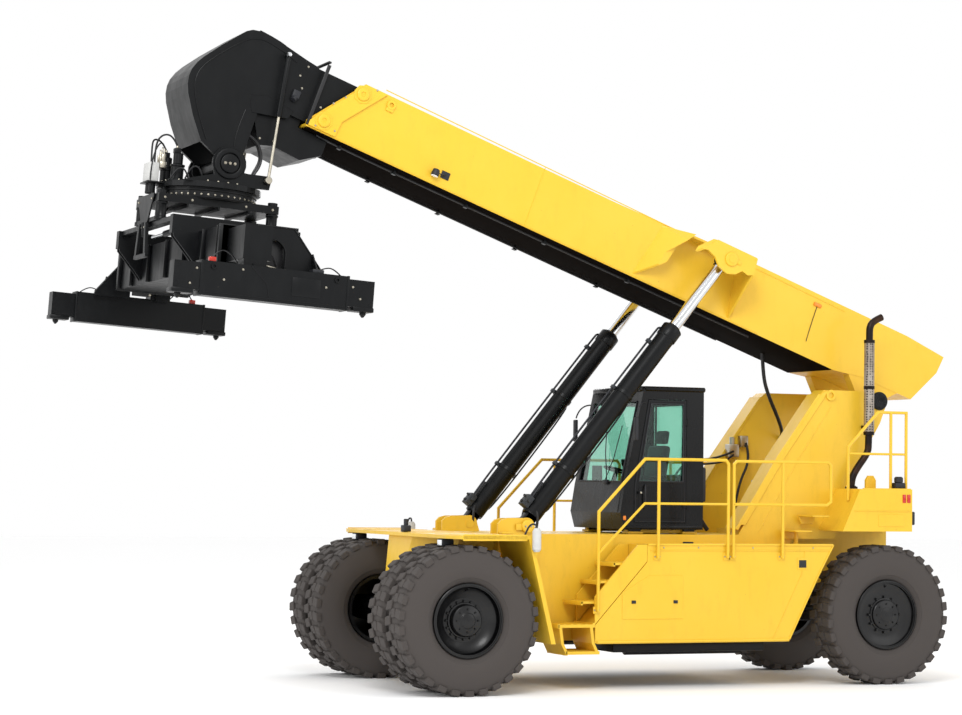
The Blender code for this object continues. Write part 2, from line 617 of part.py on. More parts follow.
def lift_bracket():
    side = BOOM_HALF - 0.01
    face = LIFT_Y + 0.20
    web = [(2.50, 0.80), (2.56, 1.03), (3.154, 1.03), (3.34, 0.83), (3.25, 0.845), (3.12, 0.80),
           (3.02, 0.70), (2.88, 0.66), (2.76, 0.70), (2.68, 0.78), (2.58, 0.76)]
    outer = prism(web, face - 0.04, face)
    top = sheet([(2.53, side, 1.05), (3.10, side, 1.05), (3.16, face, 1.03), (2.53, face, 1.03)],
                (0, 0, -0.03))
    front = sheet([(3.14, face, 1.028), (3.34, face, 0.83), (3.95, side, 0.25), (3.75, side, 1.03)],
                  (-0.035, 0, 0))
    cap = sheet([(3.08, face, 1.03), (3.08, side, 1.048), (3.77, side, 1.03)], (0, 0, -0.03))
    rear = sheet([(2.52, face, 1.02), (2.50, face, 0.79), (2.38, side, 0.24), (2.52, side, 1.03)],
                 (0.03, 0, 0))
    pin = bar((LIFT_EYE_U, face - 0.03, LIFT_EYE_W), (LIFT_EYE_U, face + 0.03, LIFT_EYE_W), 0.05, 16)
    return [outer, top, front, cap, rear, pin]


def bracket_slots():
    """The way through the bracket for the lift cylinder, whose eye strays a little as the boom moves."""
    low = LIFT_Y - LIFT_BARREL_RADIUS - 0.02
    high = LIFT_Y + LIFT_BARREL_RADIUS + 0.02
    sweep = [(2.74, 0.60), (2.74, 1.30), (3.20, 1.30), (3.26, 1.19), (3.995, 0.24), (3.75, 0.0), (3.0, 0.0)]
    return both(prism(sweep, low, high))


def build_inner_boom(telescope):
    u0 = 9.44
    tube = box((INNER_TAIL, -INNER_HALF, INNER_LOW), (u0 + 0.1, INNER_HALF, INNER_TOP))
    belly = prism([(8.45, -0.02), (8.70, -0.19), (9.10, -0.17), (9.46, -0.30), (9.46, 0.32), (8.87, 0.32),
                   (8.87, 0.19), (8.45, 0.19)], -0.44, 0.44)
    cheek = [(8.95, 0.30), (8.95, 1.0), (9.50, 1.09), (9.80, 1.10), (9.88, 1.08), (9.95, 1.03), (10.18, 0.73),
             (10.33, 0.51), (10.39, 0.40), (10.425, 0.29), (10.43, 0.20), (10.41, 0.10), (10.36, -0.01),
             (10.20, -0.25), (9.99, -0.50)]
    cheek += arc((HEAD_PIN_U, HEAD_PIN_W), 0.19, 10, -190, 10)
    cheek += [(9.42, -0.46), (9.45, 0.30)]
    head = prism(cheek, -INNER_HALF, INNER_HALF)
    hollow = [(9.52, 0.20), (9.52, 0.98), (9.80, 1.05), (9.92, 0.99), (10.14, 0.70), (10.34, 0.39),
              (10.38, 0.20), (10.31, 0.01), (10.15, -0.22), (9.98, -0.42), (10.0, -0.9), (9.2, -1.0),
              (9.2, -0.36)]
    room = prism(hollow, -0.44, 0.44)
    hole = bore(HEAD_PIN_RADIUS, -1, 1, "Y", (HEAD_PIN_U, 0, HEAD_PIN_W), 26)
    wall = BOOM_WALL
    inside = box((INNER_TAIL - 1, -INNER_HALF + wall, INNER_LOW + wall), (9.0, INNER_HALF - wall, INNER_TOP - wall))
    stubs = both(disc(0.022, 0.46, DAMPER_Y + 0.045, "Y", (DAMPER_TOP_U, 0, DAMPER_TOP_W), 12))
    node("boom_inner", BLACK, telescope, [tube, belly, head, *stubs], [room, hole, inside])


def damper_run():
    """Length and pitch of the damper, from its top pin to its foot, in the boom's frame."""
    turn = math.radians(HEAD_TILT - BOOM_ANGLE)
    foot_u = HEAD_PIN_U + DAMPER_FOOT_X * math.cos(turn) - DAMPER_FOOT_Z * math.sin(turn)
    foot_w = HEAD_PIN_W + DAMPER_FOOT_X * math.sin(turn) + DAMPER_FOOT_Z * math.cos(turn)
    du, dw = foot_u - DAMPER_TOP_U, foot_w - DAMPER_TOP_W
    return math.hypot(du, dw), math.degrees(math.atan2(dw, du))


def build_dampers(telescope):
    length, pitch = damper_run()
    for name, sign in (("left", 1), ("right", -1)):
        top = empty("damper_top_" + name, telescope, (DAMPER_TOP_U, sign * DAMPER_Y, DAMPER_TOP_W), pitch)
        eye = disc(0.042, -0.022, 0.022, "Y", segments=18)
        barrel = disc(0.032, 0.034, DAMPER_BARREL_LENGTH, "X", segments=16)
        inside = disc(DAMPER_ROD_RADIUS + RUNNING, 0.08, 2, "X", segments=12)
        node("damper_barrel_" + name, BLACK, top, [barrel, eye], [inside, bore(0.022, -1, 1, segments=12)])
        rod = disc(DAMPER_ROD_RADIUS, 0.45, length, "X", segments=12)
        foot = disc(0.042, -DAMPER_FOOT_HALF, DAMPER_FOOT_HALF, "Y", (length, 0, 0), 18)
        node("damper_rod_" + name, CHROME, top, [rod, foot])


def build_yoke(head):
    plate = [(0.44, -0.22), (0.18, -0.15)] + arc((0, 0), 0.22, -25, 205, 12)
    plate += [(-0.24, -0.10), (DAMPER_FOOT_X + 0.02, -0.10)]
    plate += arc((DAMPER_FOOT_X, DAMPER_FOOT_Z), 0.06, 90, 200, 5)
    plate += [(-0.54, -0.27), (0.60, -0.27)]
    cheeks = both(prism(plate, INNER_HALF + 0.012, INNER_HALF + 0.052))
    pin = disc(HEAD_PIN_RADIUS, -0.57, 0.57, "Y", segments=26)
    stubs = both(disc(0.035, INNER_HALF + 0.03, DAMPER_Y - DAMPER_FOOT_HALF - SWING, "Y",
                      (DAMPER_FOOT_X, 0, DAMPER_FOOT_Z), 14))
    table = prism(arc((SLEW_X, 0), 0.66, 0, 345, 23), -0.33, -0.26, "Z")
    node("rotator_yoke", BLACK, head, [table, *cheeks, pin, *stubs])


def build_slew(slew):
    ring = disc(0.60, -0.47, -0.33 - GAP, "Z", segments=36)
    table = box((-0.78, -0.52, -0.56), (0.78, 0.52, -0.46))
    posts = [disc(0.055, SHIFT_RAIL_Z, -0.50, "Z", (x, y, 0), 12) for x in (-0.72, 0.72)
             for y in (-0.44, 0.44)]
    shoes = [box((x - 0.09, -0.50, SHIFT_RAIL_Z), (x + 0.09, 0.50, SHIFT_RAIL_Z + 0.05))
             for x in (-0.70, 0.70)]
    node("slew_frame", BLACK, slew, [ring, table, *posts, *shoes])


BEAM_X = 0.22
BEAM_HALF = 0.17
BEAM_LOW = -1.42
BEAM_TOP = -1.02


def build_spreader(shift):
    low, high = BEAM_LOW - 0.04, BEAM_TOP + 0.04
    body = box((-0.46, -2.30, low), (0.46, 2.30, high))
    g = RUNNING
    tunnels = [box((x - BEAM_HALF - g, -3, BEAM_LOW - g), (x + BEAM_HALF + g, 3, BEAM_TOP + g))
               for x in (-BEAM_X, BEAM_X)]
    carriers = [box((-0.80, y - 0.06, high - 0.05), (0.80, y + 0.06, SHIFT_RAIL_Z - GAP))
                for y in (-1.25, 1.25)]
    rails = [box((x - 0.06, -1.31, SHIFT_RAIL_Z - 0.06), (x + 0.06, 1.31, SHIFT_RAIL_Z - GAP))
             for x in (-0.70, 0.70)]
    node("spreader_frame", BLACK, shift, [body, *carriers, *rails], tunnels)


def build_spreader_ends(shift):
    for name, sign in (("left", 1), ("right", -1)):
        place = empty("spread_" + name, shift, (0, 0, 0))
        turn = Matrix.Identity(4) if sign > 0 else Matrix.Rotation(math.pi, 4, "Z")
        arm = box((BEAM_X - BEAM_HALF, -2.25, BEAM_LOW), (BEAM_X + BEAM_HALF, 2.95, BEAM_TOP))
        gusset = [(0.17, -1.53), (0.36, -1.53), (0.30, -1.44), (0.21, -1.30), (0.18, -1.18), (0.16, -0.98),
                  (-0.28, -0.98), (-0.68, -1.49), (-0.68, -1.53), (-0.19, -1.53)]
        side_plate = prism(gusset + arc((-0.01, -1.31), 0.18, 180, 0, 8), 2.70, 2.74)
        web = box((0.10, 2.72, -1.52), (0.38, 2.955, -1.40))
        sleeve = box((-0.88, 2.80, -1.90), (0.88, 3.029, -1.50))
        tips = box((-1.218, 2.83, -1.85), (1.218, 3.026, -1.53))
        pads = [box((x - 0.085, 2.84, -1.88), (x + 0.085, 3.02, -1.80)) for x in (-LOCK_X, LOCK_X)]
        lock = [(0, LOCK_TIP), (0.012, LOCK_TIP), (0.040, LOCK_TIP + 0.035), (0.040, -1.896),
                (0.028, -1.894), (0.028, -1.86), (0, -1.86)]
        locks = [turned(lock, "Z", (x, LOCK_Y, 0), 12) for x in (-LOCK_X, LOCK_X)]
        shapes = [arm, side_plate, web, sleeve, tips, *pads, *locks]
        for shape in shapes:
            bmesh.ops.transform(shape, matrix=turn, verts=shape.verts)
        node("spreader_arm_" + name, BLACK, place, shapes)


def lift_run():
    """Length and pitch of the lift cylinder at rest, in the machine's frame."""
    a = math.radians(BOOM_ANGLE)
    x = PIVOT_X + LIFT_EYE_U * math.cos(a) - LIFT_EYE_W * math.sin(a) - LIFT_BASE_X
    z = PIVOT_Z + LIFT_EYE_U * math.sin(a) + LIFT_EYE_W * math.cos(a) - LIFT_BASE_Z
    return math.hypot(x, z), math.degrees(math.atan2(z, x))


def build_lift(machine):
    length, pitch = lift_run()
    for name, sign in (("left", 1), ("right", -1)):
        base = empty("lift_base_" + name, machine, (LIFT_BASE_X, sign * LIFT_Y, LIFT_BASE_Z), pitch)
        eye = disc(0.093, -LIFT_EYE_HALF, LIFT_EYE_HALF, "Y", segments=24)
        neck = box((0.01, -0.070, -0.07), (0.20, 0.070, 0.07))
        tube = disc(LIFT_BARREL_RADIUS, 0.17, LIFT_BARREL_LENGTH, "X", segments=24)
        inside = disc(LIFT_ROD_RADIUS + RUNNING, 0.20, 9, "X", segments=20)
        hole = bore(LIFT_PIN_RADIUS, -1, 1, segments=20)
        node("lift_barrel_" + name, BLACK, base, [tube, neck, eye], [inside, hole], smooth=True)
        rod = disc(LIFT_ROD_RADIUS, 1.28, length - 0.03, "X", segments=20)
        top = disc(0.105, -LIFT_EYE_HALF, LIFT_EYE_HALF, "Y", (length, 0, 0), 24)
        node("lift_rod_" + name, CHROME, base, [rod, top], smooth=True)


def main():
    clear_scene()
    machine = empty("machine", at=(DRIVE_X, 0, 0))
    build_frame(machine)
    build_deck(machine)
    build_sides(machine)
    build_rear(machine)
    build_wheels(machine)
    build_cab(machine)
    build_lift(machine)
    pivot = empty("boom_pivot", machine, (PIVOT_X, 0, PIVOT_Z), BOOM_ANGLE)
    build_boom(pivot)
    telescope = empty("telescope", pivot)
    build_inner_boom(telescope)
    build_dampers(telescope)
    head = empty("head_pin", telescope, (HEAD_PIN_U, 0, HEAD_PIN_W), HEAD_TILT - BOOM_ANGLE)
    build_yoke(head)
    slew = empty("slew", head, (SLEW_X, 0, 0))
    build_slew(slew)
    shift = empty("side_shift", slew)
    build_spreader(shift)
    build_spreader_ends(shift)


main()
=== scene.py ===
"""Looks of a reach stacker: finishes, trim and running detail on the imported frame.

Lengths are metres.  Sub-assemblies are modelled in their own working frame (machine, boom, head,
cylinder) and placed by a matrix that comes from the frame's joints.
"""
import json
import logging
import math
from dataclasses import dataclass, field
from enum import Enum
from typing import Any, Dict, Iterable, List, Optional, Sequence, Tuple

import bpy
from mathutils import Matrix, Vector


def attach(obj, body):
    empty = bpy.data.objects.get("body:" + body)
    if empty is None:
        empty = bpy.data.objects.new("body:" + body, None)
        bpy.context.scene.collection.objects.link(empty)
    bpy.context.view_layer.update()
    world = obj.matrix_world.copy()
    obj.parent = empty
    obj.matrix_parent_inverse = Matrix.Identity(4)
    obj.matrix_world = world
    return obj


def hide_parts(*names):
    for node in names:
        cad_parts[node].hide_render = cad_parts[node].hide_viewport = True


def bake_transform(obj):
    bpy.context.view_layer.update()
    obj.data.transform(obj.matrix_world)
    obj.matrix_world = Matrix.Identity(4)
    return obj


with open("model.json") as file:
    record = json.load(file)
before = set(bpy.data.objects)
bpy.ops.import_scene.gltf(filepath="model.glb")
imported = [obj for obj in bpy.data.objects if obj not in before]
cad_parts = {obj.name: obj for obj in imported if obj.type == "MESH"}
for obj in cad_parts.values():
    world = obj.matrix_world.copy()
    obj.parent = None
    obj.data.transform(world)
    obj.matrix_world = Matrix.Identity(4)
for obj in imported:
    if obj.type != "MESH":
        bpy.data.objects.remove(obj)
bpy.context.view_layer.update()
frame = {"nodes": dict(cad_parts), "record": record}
LOG = logging.getLogger("reach_stacker")

Point = Tuple[float, float, float]
Pair = Tuple[float, float]
Obj = bpy.types.Object


class Axis(Enum):
    """The axis that an outline is drawn across or a profile is turned about."""

    X = (1, 2, 0)
    Y = (0, 2, 1)
    Z = (0, 1, 2)

    def point(self, a: float, b: float, along: float) -> Vector:
        """Return the point with two coordinates across the axis and one along it."""
        place = [0.0, 0.0, 0.0]
        place[self.value[0]], place[self.value[1]], place[self.value[2]] = a, b, along
        return Vector(place)

    def unit(self) -> Vector:
        """Return the axis as a vector."""
        return self.point(0, 0, 1)


# ---------------------------------------------------------------- working frames


def joint(name: str) -> Dict[str, Any]:
    """Return the record's entry for a joint.

    Args:
        name: the joint's name.

    Returns:
        The entry, with pos_m and axis.
    """
    joints = frame["record"]["behaviour"]["joints"]
    return next(entry for entry in joints if entry["name"] == name)


def upright(origin: Sequence[float], forward: Sequence[float]) -> Matrix:
    """Return the frame at origin with X along forward and Y across the machine."""
    x = Vector(forward).normalized()
    y = Vector((0, 1, 0))
    z = x.cross(y)
    turn = Matrix((x, y, z)).transposed().to_4x4()
    return Matrix.Translation(origin) @ turn


MACHINE = Matrix.Translation((joint("drive_spin_left")["pos_m"][0], 0, 0))
AXLE_HEIGHT = joint("drive_spin_left")["pos_m"][2]
BOOM = upright(joint("boom_lift")["pos_m"], [-v for v in joint("telescope_slide")["axis"]])
HEAD_UP = Vector(joint("slew_turn")["axis"])
HEAD = upright(joint("head_level")["pos_m"], Vector((0, 1, 0)).cross(HEAD_UP))
SLEW_X = 0.08
SLEW = HEAD @ Matrix.Translation((SLEW_X, 0, 0))
BOOM_AT_TOWER = Matrix.Translation(joint("boom_lift")["pos_m"])


# ---------------------------------------------------------------- modelling bench


def deselect() -> None:
    """Leave object mode and deselect everything."""
    if bpy.context.mode != "OBJECT":
        bpy.ops.object.mode_set(mode="OBJECT")
    bpy.ops.object.select_all(action="DESELECT")


def pick(*objects: Obj) -> Obj:
    """Select only these objects and make the first active.

    Args:
        objects: what to select.

    Returns:
        The first object.
    """
    deselect()
    for obj in objects:
        obj.select_set(True)
    bpy.context.view_layer.objects.active = objects[0]
    return objects[0]


def settle(obj: Obj) -> Obj:
    """Move an object's place, turn and size into its mesh and return it."""
    pick(obj)
    bpy.ops.object.transform_apply(location=True, rotation=True, scale=True)
    return obj


def soften(obj: Obj, width: float, segments: int = 2, angle: float = 32.0) -> Obj:
    """Round the sharp edges of a mesh.

    Args:
        obj: the piece.
        width: the rounding, in metres; 0 leaves it alone.
        segments: steps round each edge.
        angle: edges sharper than this, in degrees, are rounded.

    Returns:
        The piece.
    """
    pick(obj)
    if width > 0:
        edge = obj.modifiers.new("rounded_edges", "BEVEL")
        edge.width = width
        edge.segments = segments
        edge.limit_method = "ANGLE"
        edge.angle_limit = math.radians(angle)
        edge.use_clamp_overlap = True
        bpy.ops.object.modifier_apply(modifier=edge.name)
    bpy.ops.object.shade_smooth_by_angle(angle=math.radians(angle))
    return obj


def block(low: Point, high: Point, edge: float = 0.006) -> Obj:
    """Return a box between two corners with rounded edges."""
    deselect()
    centre = [(a + b) / 2 for a, b in zip(low, high)]
    size = [b - a for a, b in zip(low, high)]
    bpy.ops.mesh.primitive_cube_add(size=1, location=centre, scale=size)
    return soften(settle(bpy.context.object), min(edge, min(size) * 0.3))


def rod(start: Sequence[float], end: Sequence[float], radius: float, sides: int = 24,
        edge: float = 0.003, tip: Optional[float] = None) -> Obj:
    """Return a round bar between two points.

    Args:
        start: one end.
        end: the other end.
        radius: at the start.
        sides: corners round it.
        edge: rounding of its rims.
        tip: radius at the end, where it tapers.

    Returns:
        The bar.
    """
    deselect()
    run = Vector(end) - Vector(start)
    turn = Vector((0, 0, 1)).rotation_difference(run).to_euler()
    middle = (Vector(start) + Vector(end)) / 2
    bpy.ops.mesh.primitive_cone_add(vertices=sides, radius1=radius, radius2=radius if tip is None else tip,
                                    depth=run.length, location=middle, rotation=turn)
    return soften(settle(bpy.context.object), min(edge, radius * 0.3, run.length * 0.3), 1, 40)


def drawn(points: Sequence[Vector], filled: bool) -> Obj:
    """Return a ring of points as a new mesh, in edit mode with all of it selected."""
    deselect()
    bpy.ops.mesh.primitive_circle_add(vertices=len(points), radius=1, fill_type="NGON" if filled else "NOTHING")
    obj = bpy.context.object
    for vertex, point in zip(obj.data.vertices, points):
        vertex.co = point
    bpy.ops.object.mode_set(mode="EDIT")
    bpy.ops.mesh.select_all(action="SELECT")
    return obj


def close_mesh() -> None:
    """Merge doubles, point the faces outwards and leave edit mode."""
    bpy.ops.mesh.select_all(action="SELECT")
    bpy.ops.mesh.remove_doubles(threshold=0.00005)
    bpy.ops.mesh.normals_make_consistent(inside=False)
    bpy.ops.object.mode_set(mode="OBJECT")


def plate(outline: Sequence[Pair], low: float, high: float, axis: Axis = Axis.Y,
          edge: float = 0.005) -> Obj:
    """Return a plate: an outline drawn across an axis and extruded along it.

    Args:
        outline: corners in order, in the two coordinates across the axis.
        low: where it starts along the axis.
        high: where it ends.
        axis: the axis.
        edge: rounding of its edges.

    Returns:
        The plate.
    """
    obj = drawn([axis.point(a, b, low) for a, b in outline], filled=True)
    bpy.ops.mesh.extrude_region_move(TRANSFORM_OT_translate={"value": axis.unit() * (high - low)})
    close_mesh()
    return soften(obj, min(edge, abs(high - low) * 0.3), 1)


def turned(profile: Sequence[Pair], axis: Axis = Axis.Y, centre: Point = (0, 0, 0), steps: int = 48,
           edge: float = 0.0) -> Obj:
    """Return a closed profile of (radius, along) turned about an axis.

    Args:
        profile: the closed section.
        axis: what it turns about.
        centre: a point on the axis, from which along is measured.
        steps: segments round it.
        edge: rounding of its edges.

    Returns:
        The turned piece.
    """
    obj = drawn([axis.point(r, 0, along) + Vector(centre) for r, along in profile], filled=False)
    bpy.ops.mesh.spin(steps=steps, angle=2 * math.pi, center=centre, axis=axis.unit())
    close_mesh()
    return soften(obj, edge, 1, 30)


def hose(points: Sequence[Point], radius: float, sides: int = 3, smooth: bool = True) -> Obj:
    """Return a hose, cable or bent tube along points.

    Args:
        points: the run.
        radius: of the tube.
        sides: the bevel resolution; the tube has four corners more for each.
        smooth: whether it curves through the points rather than turning at them.

    Returns:
        The tube as a mesh.
    """
    deselect()
    curve = bpy.data.curves.new("run", "CURVE")
    curve.dimensions = "3D"
    curve.bevel_depth = radius
    curve.bevel_resolution = sides
    curve.use_fill_caps = True
    curve.resolution_u = 6
    spline = curve.splines.new("NURBS" if smooth else "POLY")
    spline.points.add(len(points) - 1)
    for knot, point in zip(spline.points, points):
        knot.co = (*point, 1)
    if smooth:
        spline.order_u = min(3, len(points))
        spline.use_endpoint_u = True
    obj = bpy.data.objects.new("run", curve)
    bpy.context.scene.collection.objects.link(obj)
    pick(obj)
    bpy.ops.object.convert(target="MESH")
    obj = bpy.context.object
    bpy.ops.object.shade_smooth_by_angle(angle=math.radians(40))
    return obj


def copied(obj: Obj, places: Iterable[Matrix]) -> List[Obj]:
    """Return the object's copies at each place, each with its own mesh, in place of the object."""
    made = []
    for place in places:
        copy = obj.copy()
        copy.data = obj.data.copy()
        copy.data.transform(place)
        if place.determinant() < 0:
            copy.data.flip_normals()
        bpy.context.scene.collection.objects.link(copy)
        made.append(copy)
    bpy.data.objects.remove(obj, do_unlink=True)
    return made


MIRROR = Matrix.Scale(-1, 4, (0, 1, 0))


def both_sides(*objects: Obj) -> List[Obj]:
    """Return the objects and their mirror images across the middle plane."""
    return [copy for obj in objects for copy in copied(obj, (Matrix.Identity(4), MIRROR))]


def round_about(obj: Obj, count: int, axis: Axis = Axis.Y, centre: Point = (0, 0, 0),
                start: float = 0.0, sweep: float = 360.0) -> List[Obj]:
    """Return count copies of an object spaced round an axis through a centre."""
    there = Matrix.Translation(centre)
    step = sweep / count if sweep == 360.0 else sweep / max(count - 1, 1)
    turns = [there @ Matrix.Rotation(math.radians(start + i * step), 4, axis.name) @ there.inverted()
             for i in range(count)]
    return copied(obj, turns)


def along_line(obj: Obj, offsets: Iterable[Point]) -> List[Obj]:
    """Return a copy of an object at each offset."""
    return copied(obj, [Matrix.Translation(offset) for offset in offsets])


def arc(centre: Pair, radius: float, start: float, end: float, steps: int = 8) -> List[Pair]:
    """Return points on an arc, with angles in degrees and both ends included."""
    angles = [math.radians(start + (end - start) * i / steps) for i in range(steps + 1)]
    return [(centre[0] + radius * math.cos(a), centre[1] + radius * math.sin(a)) for a in angles]


def bolt(place: Point, axis: Axis, radius: float = 0.016, height: float = 0.014, way: float = 1) -> Obj:
    """Return a bolt head on its washer, standing out along an axis from a place on a face."""
    base = Vector(place)
    out = axis.unit() * way
    washer = rod(base, base + out * height * 0.3, radius * 1.25, 12, 0)
    head = rod(base + out * height * 0.25, base + out * height, radius, 6, 0.002)
    return joined([washer, head])


def joined(parts: Sequence[Obj]) -> Obj:
    """Join parts into the first one and return it."""
    if len(parts) > 1:
        pick(*parts)
        bpy.ops.object.join()
    return parts[0]


def add_piece(name: str, parts: Sequence[Obj], finish: "Finish", body: str, place: Matrix = MACHINE,
              stands_for: Sequence[str] = ()) -> Obj:
    """Finish a piece: join it, put its place in its mesh, paint it and let it ride.

    Args:
        name: the piece's name.
        parts: what it is made of, in a working frame.
        finish: its finish.
        body: the CAD body it moves with.
        place: the working frame.
        stands_for: CAD nodes that it replaces.

    Returns:
        The piece.
    """
    piece = joined(list(parts))
    piece.name = name
    piece.data.name = name
    piece.data.transform(place)
    piece.data.materials.clear()
    piece.data.materials.append(finish.material())
    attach(piece, body)
    if stands_for:
        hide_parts(*stands_for)
    LOG.info("%-26s rides %-18s %6d faces", name, body, len(piece.data.polygons))
    return piece


# ---------------------------------------------------------------- finishes


def linear(code: str, alpha: float = 1.0) -> Tuple[float, float, float, float]:
    """Return an sRGB hex colour as linear RGBA."""
    values = [int(code[i:i + 2], 16) / 255 for i in (1, 3, 5)]
    red, green, blue = (v / 12.92 if v <= 0.04045 else ((v + 0.055) / 1.055) ** 2.4 for v in values)
    return red, green, blue, alpha


def add_node(tree: bpy.types.NodeTree, kind: str, settings: Optional[Dict[str, Any]] = None,
             **inputs: Any) -> bpy.types.Node:
    """Add a shader node.

    Args:
        tree: the material's nodes.
        kind: the node's type.
        settings: its options by name.
        inputs: its sockets by name, with _ for a space, or in_N for the Nth; each takes a value or
            another node's output socket.

    Returns:
        The node.
    """
    node = tree.nodes.new(kind)
    for key, value in (settings or {}).items():
        setattr(node, key, value)
    for key, value in inputs.items():
        socket = node.inputs[int(key[3:])] if key.startswith("in_") else node.inputs[key.replace("_", " ")]
        if isinstance(value, bpy.types.NodeSocket):
            tree.links.new(value, socket)
        else:
            socket.default_value = value
    return node


def set_ramp(node: bpy.types.Node, stops: Sequence[Tuple[float, Tuple[float, float, float, float]]]) -> None:
    """Give a colour ramp its stops."""
    ramp = node.color_ramp
    while len(ramp.elements) > 2:
        ramp.elements.remove(ramp.elements[-1])
    for i, (position, colour) in enumerate(stops):
        stop = ramp.elements[i] if i < 2 else ramp.elements.new(position)
        stop.position = position
        stop.color = colour


BLACK_WHITE = ((0.0, (0, 0, 0, 1)), (1.0, (1, 1, 1, 1)))


@dataclass(frozen=True)
class Finish:
    """What every finish has: its name and the record's material slot."""

    name: str
    slot: str

    def material(self) -> bpy.types.Material:
        """Return the finish's material, built once."""
        found = bpy.data.materials.get(self.name)
        if found:
            return found
        made = bpy.data.materials.new(self.name)
        made.use_nodes = True
        tree = made.node_tree
        shader = tree.nodes["Principled BSDF"]
        place = add_node(tree, "ShaderNodeTexCoord").outputs["Object"]
        self.build(tree, shader, place)
        return made

    def build(self, tree: bpy.types.NodeTree, shader: bpy.types.Node, place: bpy.types.NodeSocket) -> None:
        """Wire the finish into the shader; each finish has its own."""
        raise NotImplementedError


@dataclass(frozen=True)
class MachinePaint(Finish):
    """Two-pack machinery enamel, sprayed on steel plate.

    It shows a faint orange peel, cloudy fading, dust that settles in patches, and small chips.
    """

    fresh: str = "#DDB01E"
    faded: str = "#E3BB38"
    dust: str = "#A0862C"
    chip: str = "#3A2E1E"
    roughness: float = 0.34
    dust_amount: float = 0.30
    peel_mm: float = 14.0
    cloud_mm: float = 900.0
    coat: float = 0.10
    ior: float = 1.42

    def build(self, tree: bpy.types.NodeTree, shader: bpy.types.Node, place: bpy.types.NodeSocket) -> None:
        """Wire clouds, dust streaks, chips and orange peel."""
        clouds = add_node(tree, "ShaderNodeTexNoise", Vector=place, Scale=1000 / self.cloud_mm, Detail=4.0,
                          Roughness=0.55)
        body = add_node(tree, "ShaderNodeMixRGB", Fac=clouds.outputs["Fac"], Color1=linear(self.fresh),
                        Color2=linear(self.faded))
        # Dust runs down the plates: the pattern is stretched three times along Z.
        run = add_node(tree, "ShaderNodeMapping", Vector=place, Scale=(1.0, 1.0, 0.33))
        streaks = add_node(tree, "ShaderNodeTexNoise", Vector=run.outputs[0], Scale=7.0, Detail=8.0,
                           Roughness=0.68)
        settled = add_node(tree, "ShaderNodeMapRange", in_0=streaks.outputs["Fac"], in_1=0.52, in_2=0.86,
                           in_3=0.0, in_4=self.dust_amount)
        dusty = add_node(tree, "ShaderNodeMixRGB", Fac=settled.outputs[0], Color1=body.outputs[0],
                         Color2=linear(self.dust))
        # Chips are 6 to 20 mm across, drawn a little coarse so that they show.
        specks = add_node(tree, "ShaderNodeTexNoise", Vector=place, Scale=46.0, Detail=3.0, Roughness=0.5)
        chips = add_node(tree, "ShaderNodeMapRange", in_0=specks.outputs["Fac"], in_1=0.755, in_2=0.775,
                         in_3=0.0, in_4=0.8)
        chipped = add_node(tree, "ShaderNodeMixRGB", Fac=chips.outputs[0], Color1=dusty.outputs[0],
                           Color2=linear(self.chip))
        colour = chipped.outputs[0]
        rough = add_node(tree, "ShaderNodeMapRange", in_0=streaks.outputs["Fac"], in_1=0.3, in_2=0.8,
                         in_3=self.roughness, in_4=self.roughness + 0.22).outputs[0]
        peel = add_node(tree, "ShaderNodeTexNoise", Vector=place, Scale=1000 / self.peel_mm, Detail=2.0)
        bump = add_node(tree, "ShaderNodeBump", Strength=0.05, Distance=0.002, Height=peel.outputs["Fac"])
        tree.links.new(colour, shader.inputs["Base Color"])
        tree.links.new(rough, shader.inputs["Roughness"])
        tree.links.new(bump.outputs[0], shader.inputs["Normal"])
        shader.inputs["IOR"].default_value = self.ior
        shader.inputs["Coat Weight"].default_value = self.coat
        shader.inputs["Coat Roughness"].default_value = 0.12


@dataclass(frozen=True)
class TreadRubber(Finish):
    """Natural-rubber earthmover tyre, moulded: dull, greyed, with brown dust in the low places."""

    rubber: str = "#080605"
    dust: str = "#1B130C"

    def build(self, tree: bpy.types.NodeTree, shader: bpy.types.Node, place: bpy.types.NodeSocket) -> None:
        """Wire dust patches about 120 mm wide over a 5 mm moulded grain."""
        patches = add_node(tree, "ShaderNodeTexNoise", Vector=place, Scale=8.0, Detail=7.0, Roughness=0.7)
        amount = add_node(tree, "ShaderNodeMapRange", in_0=patches.outputs["Fac"], in_1=0.42, in_2=0.75,
                          in_3=0.0, in_4=0.75)
        colour = add_node(tree, "ShaderNodeMixRGB", Fac=amount.outputs[0], Color1=linear(self.rubber),
                          Color2=linear(self.dust))
        grain = add_node(tree, "ShaderNodeTexNoise", Vector=place, Scale=120.0, Detail=4.0, Roughness=0.6)
        bump = add_node(tree, "ShaderNodeBump", Strength=0.35, Distance=0.004, Height=grain.outputs["Fac"])
        rough = add_node(tree, "ShaderNodeMapRange", in_0=patches.outputs["Fac"], in_1=0.3, in_2=0.7,
                         in_3=0.62, in_4=0.92)
        tree.links.new(colour.outputs[0], shader.inputs["Base Color"])
        tree.links.new(bump.outputs[0], shader.inputs["Normal"])
        tree.links.new(rough.outputs[0], shader.inputs["Roughness"])
        shader.inputs["IOR"].default_value = 1.2


